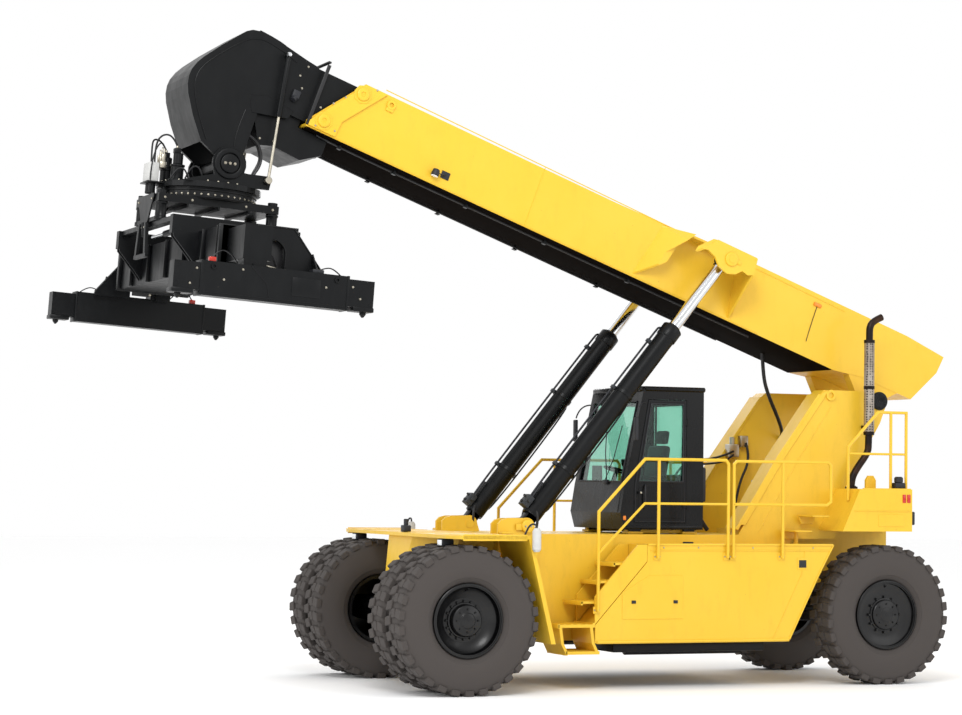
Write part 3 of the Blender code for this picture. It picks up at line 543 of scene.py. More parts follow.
@dataclass(frozen=True)
class BareMetal(Finish):
    """Ground, plated or chromed steel; fine marks run round or along it."""

    colour: str = "#C9CBCD"
    roughness: float = 0.18
    stain: str = "#6E655A"
    stain_amount: float = 0.25
    mark_mm: float = 12.0

    def build(self, tree: bpy.types.NodeTree, shader: bpy.types.Node, place: bpy.types.NodeSocket) -> None:
        """Wire oil stains and polishing marks."""
        marks = add_node(tree, "ShaderNodeTexNoise", Vector=place, Scale=1000 / self.mark_mm, Detail=6.0,
                         Roughness=0.7)
        stains = add_node(tree, "ShaderNodeTexNoise", Vector=place, Scale=5.0, Detail=5.0)
        amount = add_node(tree, "ShaderNodeMapRange", in_0=stains.outputs["Fac"], in_1=0.5, in_2=0.8, in_3=0.0,
                          in_4=self.stain_amount)
        colour = add_node(tree, "ShaderNodeMixRGB", Fac=amount.outputs[0], Color1=linear(self.colour),
                          Color2=linear(self.stain))
        rough = add_node(tree, "ShaderNodeMapRange", in_0=marks.outputs["Fac"], in_1=0.3, in_2=0.7,
                         in_3=self.roughness, in_4=self.roughness + 0.12)
        tree.links.new(colour.outputs[0], shader.inputs["Base Color"])
        tree.links.new(rough.outputs[0], shader.inputs["Roughness"])
        shader.inputs["Metallic"].default_value = 1.0


@dataclass(frozen=True)
class PerforatedSheet(Finish):
    """Stainless guard sheet punched with round holes at 26 mm pitch, stained by heat."""

    pitch_mm: float = 34.0

    def build(self, tree: bpy.types.NodeTree, shader: bpy.types.Node, place: bpy.types.NodeSocket) -> None:
        """Wire staggered dark holes on grey sheet, with heat tint."""
        cells = add_node(tree, "ShaderNodeTexVoronoi", {"feature": "F1"}, Vector=place,
                         Scale=1000 / self.pitch_mm, Randomness=0.25)
        hole = add_node(tree, "ShaderNodeMapRange", in_0=cells.outputs["Distance"], in_1=0.30, in_2=0.38,
                        in_3=1.0, in_4=0.0)
        heat = add_node(tree, "ShaderNodeTexNoise", Vector=place, Scale=9.0, Detail=4.0)
        sheet = add_node(tree, "ShaderNodeMixRGB", Fac=heat.outputs["Fac"], Color1=linear("#B9B2A8"),
                         Color2=linear("#6E5F52"))
        colour = add_node(tree, "ShaderNodeMixRGB", Fac=hole.outputs[0], Color1=sheet.outputs[0],
                          Color2=linear("#14110E"))
        bump = add_node(tree, "ShaderNodeBump", {"invert": True}, Strength=0.6, Distance=0.004,
                        Height=hole.outputs[0])
        tree.links.new(colour.outputs[0], shader.inputs["Base Color"])
        tree.links.new(bump.outputs[0], shader.inputs["Normal"])
        shader.inputs["Metallic"].default_value = 0.7
        shader.inputs["Roughness"].default_value = 0.42


@dataclass(frozen=True)
class TintedGlass(Finish):
    """Green-tinted toughened cab glass, float made, with a light film of dust."""

    tint: str = "#A9DCCB"

    def build(self, tree: bpy.types.NodeTree, shader: bpy.types.Node, place: bpy.types.NodeSocket) -> None:
        """Wire dust smears into the roughness of clear tinted glass."""
        smears = add_node(tree, "ShaderNodeTexNoise", Vector=place, Scale=3.0, Detail=6.0, Roughness=0.6)
        rough = add_node(tree, "ShaderNodeMapRange", in_0=smears.outputs["Fac"], in_1=0.4, in_2=0.8, in_3=0.0,
                         in_4=0.07)
        tint = add_node(tree, "ShaderNodeMixRGB", Fac=smears.outputs["Fac"], Color1=linear(self.tint),
                        Color2=linear("#BFE6D8"))
        tree.links.new(tint.outputs[0], shader.inputs["Base Color"])
        tree.links.new(rough.outputs[0], shader.inputs["Roughness"])
        shader.inputs["Transmission Weight"].default_value = 1.0
        shader.inputs["IOR"].default_value = 1.45


@dataclass(frozen=True)
class Moulding(Finish):
    """Moulded rubber, plastic or a lamp's lens: an even colour with a fine grain."""

    colour: str = "#15161A"
    worn: str = "#24262B"
    roughness: float = 0.5
    grain_mm: float = 4.0
    clear: float = 0.0
    ior: float = 1.45

    def build(self, tree: bpy.types.NodeTree, shader: bpy.types.Node, place: bpy.types.NodeSocket) -> None:
        """Wire the grain, a little wear and, for a lens, clearness."""
        wear = add_node(tree, "ShaderNodeTexNoise", Vector=place, Scale=14.0, Detail=5.0)
        grain = add_node(tree, "ShaderNodeTexNoise", Vector=place, Scale=1000 / self.grain_mm, Detail=2.0)
        colour = add_node(tree, "ShaderNodeMixRGB", Fac=wear.outputs["Fac"], Color1=linear(self.colour),
                          Color2=linear(self.worn))
        bump = add_node(tree, "ShaderNodeBump", Strength=0.12, Distance=0.001, Height=grain.outputs["Fac"])
        tree.links.new(colour.outputs[0], shader.inputs["Base Color"])
        tree.links.new(bump.outputs[0], shader.inputs["Normal"])
        shader.inputs["Roughness"].default_value = self.roughness
        shader.inputs["Transmission Weight"].default_value = self.clear
        shader.inputs["IOR"].default_value = self.ior


@dataclass(frozen=True)
class WovenCloth(Finish):
    """Woven polyester seat cloth: 4 mm ribs one way and threads across, with a soft sheen."""

    thread: str = "#23252B"
    light: str = "#3B3E47"
    rib_mm: float = 9.0

    def build(self, tree: bpy.types.NodeTree, shader: bpy.types.Node, place: bpy.types.NodeSocket) -> None:
        """Wire two crossed ribs; they are drawn coarser than they are so that they show."""
        warp = add_node(tree, "ShaderNodeTexWave", {"bands_direction": "Y"}, Vector=place,
                        Scale=314 / self.rib_mm / 3.14, Distortion=0.6)
        weft = add_node(tree, "ShaderNodeTexWave", {"bands_direction": "Z"}, Vector=place,
                        Scale=314 / self.rib_mm / 3.14, Distortion=0.6)
        weave = add_node(tree, "ShaderNodeMath", {"operation": "MULTIPLY"}, in_0=warp.outputs["Fac"],
                         in_1=weft.outputs["Fac"])
        colour = add_node(tree, "ShaderNodeMixRGB", Fac=weave.outputs[0], Color1=linear(self.thread),
                          Color2=linear(self.light))
        bump = add_node(tree, "ShaderNodeBump", Strength=0.4, Distance=0.002, Height=weave.outputs[0])
        tree.links.new(colour.outputs[0], shader.inputs["Base Color"])
        tree.links.new(bump.outputs[0], shader.inputs["Normal"])
        shader.inputs["Roughness"].default_value = 0.88
        shader.inputs["Sheen Weight"].default_value = 0.25


BODY_YELLOW = MachinePaint("body_yellow_enamel", "painted_yellow")
BOOM_YELLOW = MachinePaint("boom_yellow_enamel", "painted_yellow", dust_amount=0.18)
FRAME_BLACK = MachinePaint("frame_black_enamel", "painted_black", fresh="#060708", faded="#0A0C0E",
                           dust="#1E2022", chip="#3A362F", roughness=0.30, dust_amount=0.10, coat=0.03, ior=1.28)
CAB_BLACK = MachinePaint("cab_black_enamel", "painted_black", fresh="#050506", faded="#08090A",
                         dust="#242526", chip="#2A2723", roughness=0.20, dust_amount=0.08, coat=0.06,
                         ior=1.3)
RIM_BLACK = MachinePaint("rim_black_enamel", "rim_black", fresh="#030304", faded="#060607", dust="#15120F",
                         chip="#1E1B17", roughness=0.26, dust_amount=0.10, coat=0.1,
                         ior=1.4)
ENGINE_GREY = MachinePaint("engine_grey_enamel", "cast_iron", fresh="#23262A", faded="#2F3338",
                           dust="#4D4536", chip="#6B6253", roughness=0.5, dust_amount=0.4, coat=0.0)
TYRE_RUBBER = TreadRubber("tyre_rubber", "tyre_rubber")
CHROME = BareMetal("hard_chrome_rod", "chromed_rod", colour="#D8DADC", roughness=0.08, stain_amount=0.12)
ZINC = BareMetal("zinc_plated_steel", "guard_steel", colour="#B9B3A4", roughness=0.28, stain_amount=0.5)
EXHAUST_STEEL = BareMetal("exhaust_steel", "guard_steel", colour="#2A2625", roughness=0.38, stain="#5B3F2C",
                          stain_amount=0.6)
GUARD_SHEET = PerforatedSheet("perforated_guard", "guard_steel")
CAB_GLASS = TintedGlass("tinted_cab_glass", "tinted_glass")
# Painted shade: near-black matt finish for the plate under the boom, standing in for the shadow on its underside.
BOOM_UNDERSIDE_SHADE = Moulding("matt_red_lead_primer", "painted_black", colour="#0B0806", worn="#120D0A", roughness=0.95,
                        ior=1.08)
HOSE_RUBBER = Moulding("hose_rubber", "tyre_rubber", colour="#0E0E10", worn="#1C1C1E", roughness=0.45)
TRIM_PLASTIC = Moulding("trim_plastic", "painted_black", colour="#141519", worn="#212329", roughness=0.55)
GREY_PLASTIC = Moulding("grey_plastic", "painted_black", colour="#C9C9C6", worn="#B4B4B2", roughness=0.5)
AMBER_LENS = Moulding("amber_lens", "tinted_glass", colour="#D9731A", worn="#E68A2B", roughness=0.15)
RED_LENS = Moulding("red_lens", "tinted_glass", colour="#B3261B", worn="#C63A2A", roughness=0.15)
CLEAR_LENS = Moulding("clear_lens", "tinted_glass", colour="#E9EDF0", worn="#F4F6F7", roughness=0.08)
SEAT_CLOTH = WovenCloth("woven_seat_cloth", "seat_fabric")


# ---------------------------------------------------------------- sub-assemblies


@dataclass(frozen=True)
class Tyre:
    """An earthmover tyre with angled tread blocks, turned about Y and modelled at the hub's centre."""

    radius: float = 0.925
    width: float = 0.50
    bead: float = 0.452
    tread: float = 0.032
    blocks: int = 30

    def carcass(self, centre: Point) -> Obj:
        """Return the turned carcass: bulged side walls, a bead and grooves round the tread."""
        w, crown = self.width / 2, self.radius - self.tread
        side = [(self.bead, -w * 0.66), (self.bead + 0.03, -w * 0.80), (self.bead + 0.075, -w * 0.90),
                (self.bead + 0.08, -w * 0.94), (self.bead + 0.20, -w), (self.bead + 0.30, -w * 0.985),
                (crown - 0.075, -w * 0.95), (crown - 0.028, -w * 0.90), (crown, -w * 0.80)]
        section = side + [(crown + 0.006, 0.0)] + [(r, -y) for r, y in reversed(side)]
        return turned(section, Axis.Y, centre, 72, 0.004)

    def lugs(self, centre: Point) -> List[Obj]:
        """Return the tread blocks: a slanted shoulder block on each side and one in the middle."""
        w, base, top = self.width / 2, self.radius - self.tread - 0.02, self.radius
        pitch = 2 * math.pi * self.radius / self.blocks
        half = pitch * 0.34
        shoulder = plate([(-half, w * 0.36), (half * 0.75, w * 0.30), (half * 1.15, w * 0.99),
                          (-half * 0.55, w * 0.99)], base - 0.02, top, Axis.Z, 0.009)
        middle = plate([(-half * 0.8, -w * 0.26), (half * 0.9, -w * 0.18), (half * 0.8, w * 0.26),
                        (-half * 0.9, w * 0.18)], base, top - 0.001, Axis.Z, 0.009)
        other = copied(shoulder, (Matrix.Identity(4),
                                  Matrix.Rotation(math.pi / self.blocks, 4, "Y") @ MIRROR))
        lifted = [copied(lug, (Matrix.Translation(centre),))[0] for lug in (*other, middle)]
        return [copy for lug in lifted for copy in round_about(lug, self.blocks, Axis.Y, centre)]

    def build(self, centre: Point) -> List[Obj]:
        """Return the whole tyre at a centre."""
        return [self.carcass(centre), *self.lugs(centre)]


@dataclass
class Wheels:
    """The four drive tyres, the two steered ones and their rims."""

    tyre: Tyre = Tyre()
    outer: float = 1.83
    inner: float = 1.216
    steered: float = 1.345
    steer_x: float = -6.25
    rim_outer: float = 0.447

    def rim(self, centre: Point, way: int, dish: float, studs: int) -> List[Obj]:
        """Return a rim's face: flange, gutter, dished disc with hand holes, hub, nuts and valve.

        Args:
            centre: the middle of the tyre's outer side face.
            way: 1 where it faces +Y.
            dish: how deep the disc lies inside the flange.
            studs: wheel nuts round the hub.

        Returns:
            The parts.
        """
        r = self.rim_outer
        section = [(r - 0.010, 0.006), (r + 0.012, 0.0), (r + 0.016, -0.012), (r - 0.004, -0.034),
                   (r - 0.030, -0.050), (r - 0.040, -dish * 0.55), (r - 0.10, -dish * 0.80),
                   (0.27, -dish), (0.205, -dish + 0.010), (0.200, -dish * 0.35), (0.185, -dish * 0.22),
                   (0.10, -dish * 0.18), (0.092, -dish * 0.10), (0.001, -dish * 0.10),
                   (0.001, -dish - 0.03), (0.29, -dish - 0.03), (r - 0.05, -dish * 0.9 - 0.03),
                   (r - 0.02, -0.060)]
        x, y, z = centre
        face = turned([(a, b * way) for a, b in section], Axis.Y, centre, 72, 0.004)
        nut = bolt((x, y - dish * way, z + 0.236), Axis.Y, 0.017, 0.034, way)
        lock = turned([(r - 0.012, 0.008 * way), (r - 0.002, 0.008 * way), (r - 0.002, -0.004 * way),
                       (r - 0.012, -0.004 * way)], Axis.Y, centre, 72)
        small = bolt((x, y - dish * 0.18 * way, z + 0.145), Axis.Y, 0.010, 0.012, way)
        valve = rod((x, y - dish * 0.75 * way, z + r - 0.085), (x, y - 0.02 * way, z + r - 0.055), 0.007, 8)
        return [face, lock, *round_about(nut, studs, Axis.Y, centre),
                *round_about(small, 8, Axis.Y, centre), valve]

    def build(self) -> None:
        """Add the tyres and rims on both sides."""
        half = self.tyre.width / 2
        for side, way in (("left", 1), ("right", -1)):
            for row, y in (("outer", self.outer), ("inner", self.inner)):
                add_piece(f"tread_{row}_{side}", self.tyre.build((0, way * y, AXLE_HEIGHT)), TYRE_RUBBER,
                          f"drive_wheels_{side}", stands_for=[f"drive_tyre_{row}_{side}"])
            add_piece(f"rim_face_drive_{side}", self.rim((0, way * (self.outer + half * 0.86), AXLE_HEIGHT),
                                                         way, 0.17, 16), RIM_BLACK, f"drive_wheels_{side}")
            add_piece(f"tread_steer_{side}", self.tyre.build((self.steer_x, way * self.steered, AXLE_HEIGHT)),
                      TYRE_RUBBER, f"steer_wheel_{side}", stands_for=[f"steer_tyre_{side}"])
            place = (self.steer_x, way * (self.steered + half * 0.86), AXLE_HEIGHT)
            add_piece(f"rim_face_steer_{side}", self.rim(place, way, 0.09, 12), RIM_BLACK,
                      f"steer_wheel_{side}")


@dataclass
class LiftCylinder:
    """A boom lift cylinder: smooth barrel, gland, chromed rod and its pipes, along X of its frame."""

    side: str
    way: int
    across: float = 0.95
    length: float = 4.578
    barrel_end: float = 3.373
    barrel: float = 0.1275
    rod_radius: float = 0.079

    def place(self) -> Matrix:
        """Return the frame at the foot's pin with X along the cylinder."""
        foot = joint(f"lift_base_{self.side}")["pos_m"]
        stroke = Vector(joint(f"lift_stroke_{self.side}")["axis"])
        top = stroke if stroke.z > 0 else -stroke
        return upright((foot[0], 0, foot[2]), top)

    def build(self) -> None:
        """Add the barrel, rod and pipes."""
        y, place = self.across * self.way, self.place()
        centre = (0, y, 0)
        shell = turned([(0.118, 0.17), (self.barrel, 0.19), (self.barrel, 3.19), (self.barrel + 0.012, 3.20),
                        (self.barrel + 0.012, 3.36), (self.barrel, 3.372), (self.rod_radius + 0.02, 3.372),
                        (self.rod_radius + 0.018, 3.395), (self.rod_radius + 0.003, 3.40),
                        (self.rod_radius + 0.003, 0.17)], Axis.X, centre, 64, 0.003)
        foot = [rod((0, y - 0.098, 0), (0, y + 0.098, 0), 0.108, 40),
                block((0.02, y - 0.07, -0.085), (0.19, y + 0.07, 0.085), 0.02),
                *round_about(bolt((3.372, y, self.barrel - 0.022), Axis.X, 0.010, 0.012), 12, Axis.X, centre)]
        bands = [turned([(self.barrel - 0.01, x), (self.barrel + 0.012, x), (self.barrel + 0.012, x + 0.05),
                         (self.barrel - 0.01, x + 0.05)], Axis.X, centre, 48, 0.002) for x in (0.9, 2.2)]
        add_piece(f"lift_shell_{self.side}", [shell, *foot, *bands], FRAME_BLACK, f"lift_barrel_{self.side}", place)
        chrome = turned([(0.002, 1.36), (self.rod_radius, 1.36), (self.rod_radius, 4.46), (0.002, 4.46)],
                        Axis.X, centre, 64, 0.002)
        add_piece(f"lift_chrome_{self.side}", [chrome], CHROME, f"lift_rod_{self.side}", place)
        eye = [turned([(0.05, -0.098), (0.107, -0.098), (0.107, 0.098), (0.05, 0.098)], Axis.Y,
                      (self.length, y, 0), 48, 0.004),
               rod((4.44, y, 0), (4.50, y, 0), self.rod_radius + 0.012, 40)]
        add_piece(f"lift_eye_{self.side}", eye, FRAME_BLACK, f"lift_rod_{self.side}", place)
        pipes = [hose([(0.34, y - 0.03, -0.150), (0.42, y - 0.03, -0.165), (3.20, y - 0.03, -0.165),
                       (3.27, y - 0.03, -0.150), (3.27, y - 0.03, -0.12)], 0.014),
                 hose([(0.24, y + 0.03, -0.12), (0.24, y + 0.03, -0.155), (0.60, y + 0.03, -0.155)], 0.014),
                 hose([(0.34, y + 0.01, 0.12), (0.36, y + 0.01, 0.155), (2.10, y + 0.01, 0.155),
                       (2.16, y + 0.01, 0.125)], 0.011)]
        clips = [block((x, y - 0.065, -0.185), (x + 0.045, y + 0.005, -0.118), 0.004) for x in (0.9, 2.2, 3.0)]
        valve = [block((0.20, y - 0.075, -0.215), (0.36, y + 0.075, -0.118), 0.006),
                 rod((0.28, y - 0.075, -0.17), (0.28, y - 0.13, -0.17), 0.026, 6),
                 rod((0.28, y + 0.075, -0.17), (0.28, y + 0.12, -0.17), 0.022, 16),
                 rod((0.24, y, -0.215), (0.24, y, -0.24), 0.020, 6), rod((0.32, y, -0.215), (0.32, y, -0.25), 0.016, 12)]
        add_piece(f"lift_pipes_{self.side}", pipes, TRIM_PLASTIC, f"lift_barrel_{self.side}", place)
        add_piece(f"lift_valve_{self.side}", clips + valve, ENGINE_GREY, f"lift_barrel_{self.side}", place)


@dataclass
class BoomTrim:
    """What is fixed to the outer boom: frames, pins, lamps, hooks and conduit."""

    half: float = 0.60
    low: float = 0.215
    front: float = 8.83

    def front_frame(self) -> None:
        """Add the raised frame and black seal at the front edge of the outer boom."""
        y, out = self.half, self.half + 0.035
        boss = [turned([(0.001, out - 0.003), (0.085, out - 0.003), (0.085, out + 0.026), (0.072, out + 0.034),
                        (0.032, out + 0.034), (0.028, out + 0.022), (0.001, out + 0.022)], Axis.Y, (u, 0, w), 40, 0.003)
                for u, w in ((8.28, 0.89), (8.64, 0.36))]
        pads = [plate(arc((u, w), 0.125, 0, 315, 7), out - 0.003, out + 0.009, Axis.Y, 0.003)
                for u, w in ((8.28, 0.89), (8.64, 0.36))]
        # The lifting lug is a ring: a plate with a real hole.
        lug = turned([(0.030, y - 0.002), (0.062, y - 0.002), (0.062, y + 0.028), (0.030, y + 0.028)], Axis.Y,
                     (7.87, 0, 0.93), 32, 0.003)
        base = block((7.82, y - 0.002, 0.84), (7.92, y + 0.022, 0.885), 0.004)
        parts = both_sides(*boss, *pads, lug, base)
        add_piece("boom_front_frames", parts, BODY_YELLOW, "boom", BOOM)
        seal = block((self.front - 0.035, y + 0.002, 0.235), (self.front + 0.012, y + 0.020, 1.06), 0.006)
        top = block((self.front - 0.030, -y, 1.090), (self.front + 0.012, y, 1.112), 0.006)
        add_piece("boom_front_seals", [*both_sides(seal), top], HOSE_RUBBER, "boom", BOOM)
        screws = [bolt((u, out, w), Axis.Y, 0.011, 0.012)
                  for u, w in ((8.72, 0.26), (8.74, 0.50), (8.60, 0.62), (8.48, 0.76), (8.12, 1.02), (8.46, 0.30))]
        add_piece("boom_front_screws", both_sides(*screws), ZINC, "boom", BOOM)

    def weld_lines(self) -> None:
        """Add the weld beads and stiffening seams along the side plates."""
        y = self.half + 0.001
        seams = [hose([(0.75, y, 1.035), (8.0, y, 1.085)], 0.007, 1, False),
                 hose([(1.9, y, 0.232), (8.4, y, 0.232)], 0.007, 1, False),
                 hose([(2.35, y, 0.24), (2.35, y, 1.04)], 0.005, 1, False),
                 hose([(5.60, y, 0.24), (5.60, y, 1.06)], 0.005, 1, False)]
        add_piece("boom_weld_beads", both_sides(*seams), BODY_YELLOW, "boom", BOOM)

    def pins(self) -> None:
        """Add the pivot pin's end caps and their bolts."""
        cap = [turned([(0.001, 0.0), (0.125, 0.0), (0.125, 0.018), (0.110, 0.028), (0.045, 0.028),
                       (0.040, 0.020), (0.001, 0.020)], Axis.Y, (0, 0.953, 0), 48, 0.003),
               *round_about(bolt((0, 0.978, 0.085), Axis.Y, 0.011, 0.012), 6, Axis.Y)]
        add_piece("boom_pivot_caps", both_sides(*cap), FRAME_BLACK, "chassis", BOOM_AT_TOWER)

    def underside(self) -> None:
        """Add the conduit, hooks and hose run under the boom, and a near-black plate as painted shade on its underside.
        """
        w = self.low - 0.012
        # Painted shade: a near-black plate along the boom's underside stands in for the shadow there.
        shade_plate = block((0.66, -self.half + 0.004, w), (self.front - 0.02, self.half - 0.004, self.low - 0.001), 0.003)
        add_piece("boom_belly_liner", [shade_plate], BOOM_UNDERSIDE_SHADE, "boom", BOOM)
        hooks = []
        for u in (3.9, 5.2, 6.4, 7.47, 8.27):
            hooks += [block((u, 0.50, w - 0.055), (u + 0.030, 0.515, w + 0.004), 0.003),
                      block((u - 0.012, 0.455, w - 0.063), (u + 0.042, 0.525, w - 0.050), 0.003)]
        run = hose([(1.95, 0.47, w - 0.03), (3.9, 0.47, w - 0.036), (6.0, 0.47, w - 0.03), (8.3, 0.47, w - 0.036),
                    (8.62, 0.47, w - 0.012)], 0.014)
        add_piece("boom_underside_conduit", both_sides(run), HOSE_RUBBER, "boom", BOOM)
        add_piece("boom_underside_hooks", both_sides(*hooks), FRAME_BLACK, "boom", BOOM)

    def lamps(self) -> None:
        """Add the work light on its bracket, the amber marker and its cable."""
        y = self.half
        arm = [block((6.80, y - 0.002, 0.34), (6.92, y + 0.012, 0.44), 0.004),
               hose([(6.86, y + 0.01, 0.39), (6.90, y + 0.055, 0.37), (6.98, y + 0.075, 0.36)], 0.008)]
        shell = rod((7.02, y + 0.075, 0.40), (7.02, y + 0.075, 0.31), 0.045, 24, 0.008, 0.055)
        add_piece("boom_work_lights", both_sides(*arm, shell), TRIM_PLASTIC, "boom", BOOM)
        lens = rod((7.02, y + 0.075, 0.313), (7.02, y + 0.075, 0.303), 0.046, 24, 0.003)
        add_piece("boom_work_lenses", both_sides(lens), CLEAR_LENS, "boom", BOOM)
        marker = block((1.12, y - 0.002, 0.925), (1.24, y + 0.022, 0.975), 0.008)
        add_piece("boom_marker_lights", both_sides(marker), AMBER_LENS, "boom", BOOM)
        cable = hose([(1.18, y + 0.006, 0.93), (1.18, y + 0.006, 0.60), (1.17, y + 0.006, 0.42)], 0.005, 1)
        add_piece("boom_marker_cables", both_sides(cable), HOSE_RUBBER, "boom", BOOM)

    def bracket_trim(self) -> None:
        """Add the rolled collars and keeper bolts where the lift cylinders are pinned."""
        place = LiftCylinder("left", 1).place()
        head = place @ Vector((4.578, 0, 0))
        local = BOOM.inverted() @ head
        collar = turned([(0.001, 0.0), (0.096, 0.0), (0.096, 0.016), (0.084, 0.024), (0.001, 0.024)], Axis.Y,
                        (local.x, 1.151, local.z), 40, 0.003)
        keeper = block((local.x - 0.15, 1.151, local.z - 0.028), (local.x - 0.07, 1.163, local.z + 0.028), 0.004)
        add_piece("lift_pin_collars", both_sides(collar, keeper), BODY_YELLOW, "boom", BOOM)

    def build(self) -> None:
        """Add everything on the outer boom."""
        self.front_frame()
        self.weld_lines()
        self.pins()
        self.underside()
        self.lamps()
        self.bracket_trim()


@dataclass
class HeadGear:
    """The nose of the inner boom and the rotator on the head: pins, motors, valves and hoses."""

    cheek: float = 0.552
    nose: float = 0.50

    def nose_trim(self) -> None:
        """Add the weld beads on the head's cheeks, its bolts and the conduit along the inner boom."""
        y = self.nose + 0.001
        outline = [(9.20, 0.94), (9.50, 1.02), (9.84, 1.02), (10.12, 0.68), (10.31, 0.40), (10.35, 0.20),
                   (10.28, 0.01), (10.10, -0.26), (9.93, -0.46)]
        bead = hose([(u, y, w) for u, w in outline], 0.009, 2)
        inner = hose([(9.60, y, 0.10), (9.62, y, -0.30), (9.56, y, -0.40)], 0.008, 2)
        step = plate([(9.02, 0.34), (9.40, 0.38), (9.62, 0.30), (9.52, 0.10), (9.05, 0.22)], y - 0.004, y + 0.006,
                     Axis.Y, 0.004)
        add_piece("nose_weld_beads", both_sides(bead, inner, step), FRAME_BLACK, "telescope", BOOM)
        lamps = [block((9.02, y - 0.002, 0.50), (9.12, y + 0.05, 0.60), 0.01),
                 rod((9.07, y + 0.03, 0.505), (9.09, y + 0.05, 0.46), 0.040, 20, 0.006)]
        add_piece("nose_lamps", both_sides(*lamps), TRIM_PLASTIC, "telescope", BOOM)
        screws = [bolt((u, y - 0.002, w), Axis.Y, 0.011, 0.012)
                  for u, w in ((9.04, 0.95), (9.10, 0.80), (9.02, 0.66), (9.30, -0.16), (9.12, -0.12))]
        add_piece("nose_screws", both_sides(*screws), ZINC, "telescope", BOOM)
        lines = [hose([(8.9, 0.46 - i * 0.05, 1.0), (9.3, 0.46 - i * 0.05, 1.045), (9.5, 0.46 - i * 0.05, 1.105),
                       (9.78, 0.46 - i * 0.05, 1.115)], 0.013, 2) for i in range(4)]
        add_piece("nose_hoses", lines, HOSE_RUBBER, "telescope", BOOM)

    def dampers(self) -> None:
        """Add the head dampers' smooth barrels, rods and ball ends."""
        for side, way in (("left", 1), ("right", -1)):
            stroke = Vector(joint(f"damper_stroke_{side}")["axis"])
            top = BOOM @ Vector((9.36, 0, 0.95))
            foot = HEAD @ Vector((-0.50, 0, -0.16))
            run = upright(top, foot - top)
            y, length = 0.61 * way, (foot - top).length
            LOG.debug("damper %s strokes along %s", side, stroke)
            barrel = [turned([(0.0215, 0.06), (0.034, 0.06), (0.034, 0.79), (0.028, 0.805), (0.0215, 0.805)],
                             Axis.X, (0, y, 0), 32, 0.002)]
            add_piece(f"damper_shell_{side}", barrel, FRAME_BLACK, "telescope", run)
            ball = [turned([(0.001, -0.030), (0.022, -0.026), (0.034, 0.0), (0.022, 0.026), (0.001, 0.030)],
                           Axis.Y, (0, y + 0.030 * way, 0), 24)]
            add_piece(f"damper_ball_{side}", ball, CHROME, "telescope", run)
            end = [rod((length, y - 0.035, 0), (length, y + 0.040, 0), 0.044, 24, 0.004),
                   turned([(0.001, 0.50), (0.0192, 0.50), (0.0192, length - 0.04), (0.001, length - 0.04)],
                          Axis.X, (0, y, 0), 24)]
            add_piece(f"damper_foot_{side}", end, ZINC, f"damper_rod_{side}", run)

    def rotator(self) -> None:
        """Add the head pin's rings and bolts, the table's bolts, and the slew drives in front."""
        y = self.cheek
        ring = turned([(0.130, y - 0.002), (0.198, y - 0.002), (0.198, y + 0.018), (0.188, y + 0.026),
                       (0.140, y + 0.026), (0.130, y + 0.018)], Axis.Y, (0, 0, 0), 56, 0.003)
        cap = turned([(0.001, y - 0.002), (0.122, y - 0.002), (0.122, y + 0.020), (0.112, y + 0.028),
                      (0.001, y + 0.028)], Axis.Y, (0, 0, 0), 48, 0.003)
        foot = rod((-0.50, y, -0.16), (-0.50, y + 0.015, -0.16), 0.052, 28)
        add_piece("head_pin_rings", both_sides(ring, cap, foot), FRAME_BLACK, "head_block", HEAD)
        heads = [bolt((x, y + 0.028, 0.0), Axis.Y, 0.015, 0.016) for x in (-0.062, 0.0, 0.062)]
        table = round_about(bolt((SLEW_X + 0.615, 0, -0.262), Axis.Z, 0.013, 0.020), 30, Axis.Z, (SLEW_X, 0, 0))
        add_piece("head_bolts", [*both_sides(*heads), *table], ZINC, "head_block", HEAD)
        drives = []
        for y_drive in (-0.25, 0.25):
            drives += [rod((0.58, y_drive, -0.262), (0.58, y_drive, -0.235), 0.105, 32),
                       rod((0.58, y_drive, -0.24), (0.58, y_drive, -0.08), 0.080, 32, 0.006),
                       rod((0.58, y_drive, -0.08), (0.58, y_drive, -0.055), 0.092, 32),
                       rod((0.58, y_drive, -0.055), (0.58, y_drive, 0.09), 0.062, 24, 0.010),
                       block((0.56, y_drive - 0.05, 0.085), (0.64, y_drive + 0.05, 0.15), 0.008)]
        shelf = [block((0.62, -0.17, -0.300), (0.93, 0.17, -0.280), 0.004),
                 block((0.66, -0.15, -0.40), (0.72, 0.15, -0.29), 0.006),
                 rod((0.84, 0.07, -0.42), (0.84, 0.07, -0.30), 0.045, 24), rod((0.84, -0.07, -0.42), (0.84, -0.07, -0.30), 0.045, 24)]
        add_piece("slew_drives", drives + shelf, FRAME_BLACK, "head_block", HEAD)
        white = [block((0.78, -0.14, -0.279), (0.91, 0.14, -0.04), 0.012)]
        add_piece("valve_box", white, GREY_PLASTIC, "head_block", HEAD)
        brass = []
        for i in range(5):
            place = 0.70 + 0.012 * (i % 2)
            brass += [block((place, -0.12 + i * 0.05, -0.03), (place + 0.05, -0.085 + i * 0.05, 0.05 + 0.03 * (i % 3)), 0.005),
                      rod((place + 0.02, -0.10 + i * 0.05, 0.05), (place + 0.02, -0.10 + i * 0.05, 0.12 + 0.03 * (i % 3)), 0.011, 6)]
        brass += [block((0.69, -0.14, -0.10), (0.775, 0.14, -0.02), 0.008)]
        brass += [rod((0.60, y_drive, 0.15), (0.60, y_drive, 0.18), 0.018, 6) for y_drive in (-0.25, 0.25)]
        add_piece("head_fittings", brass, ZINC, "head_block", HEAD)
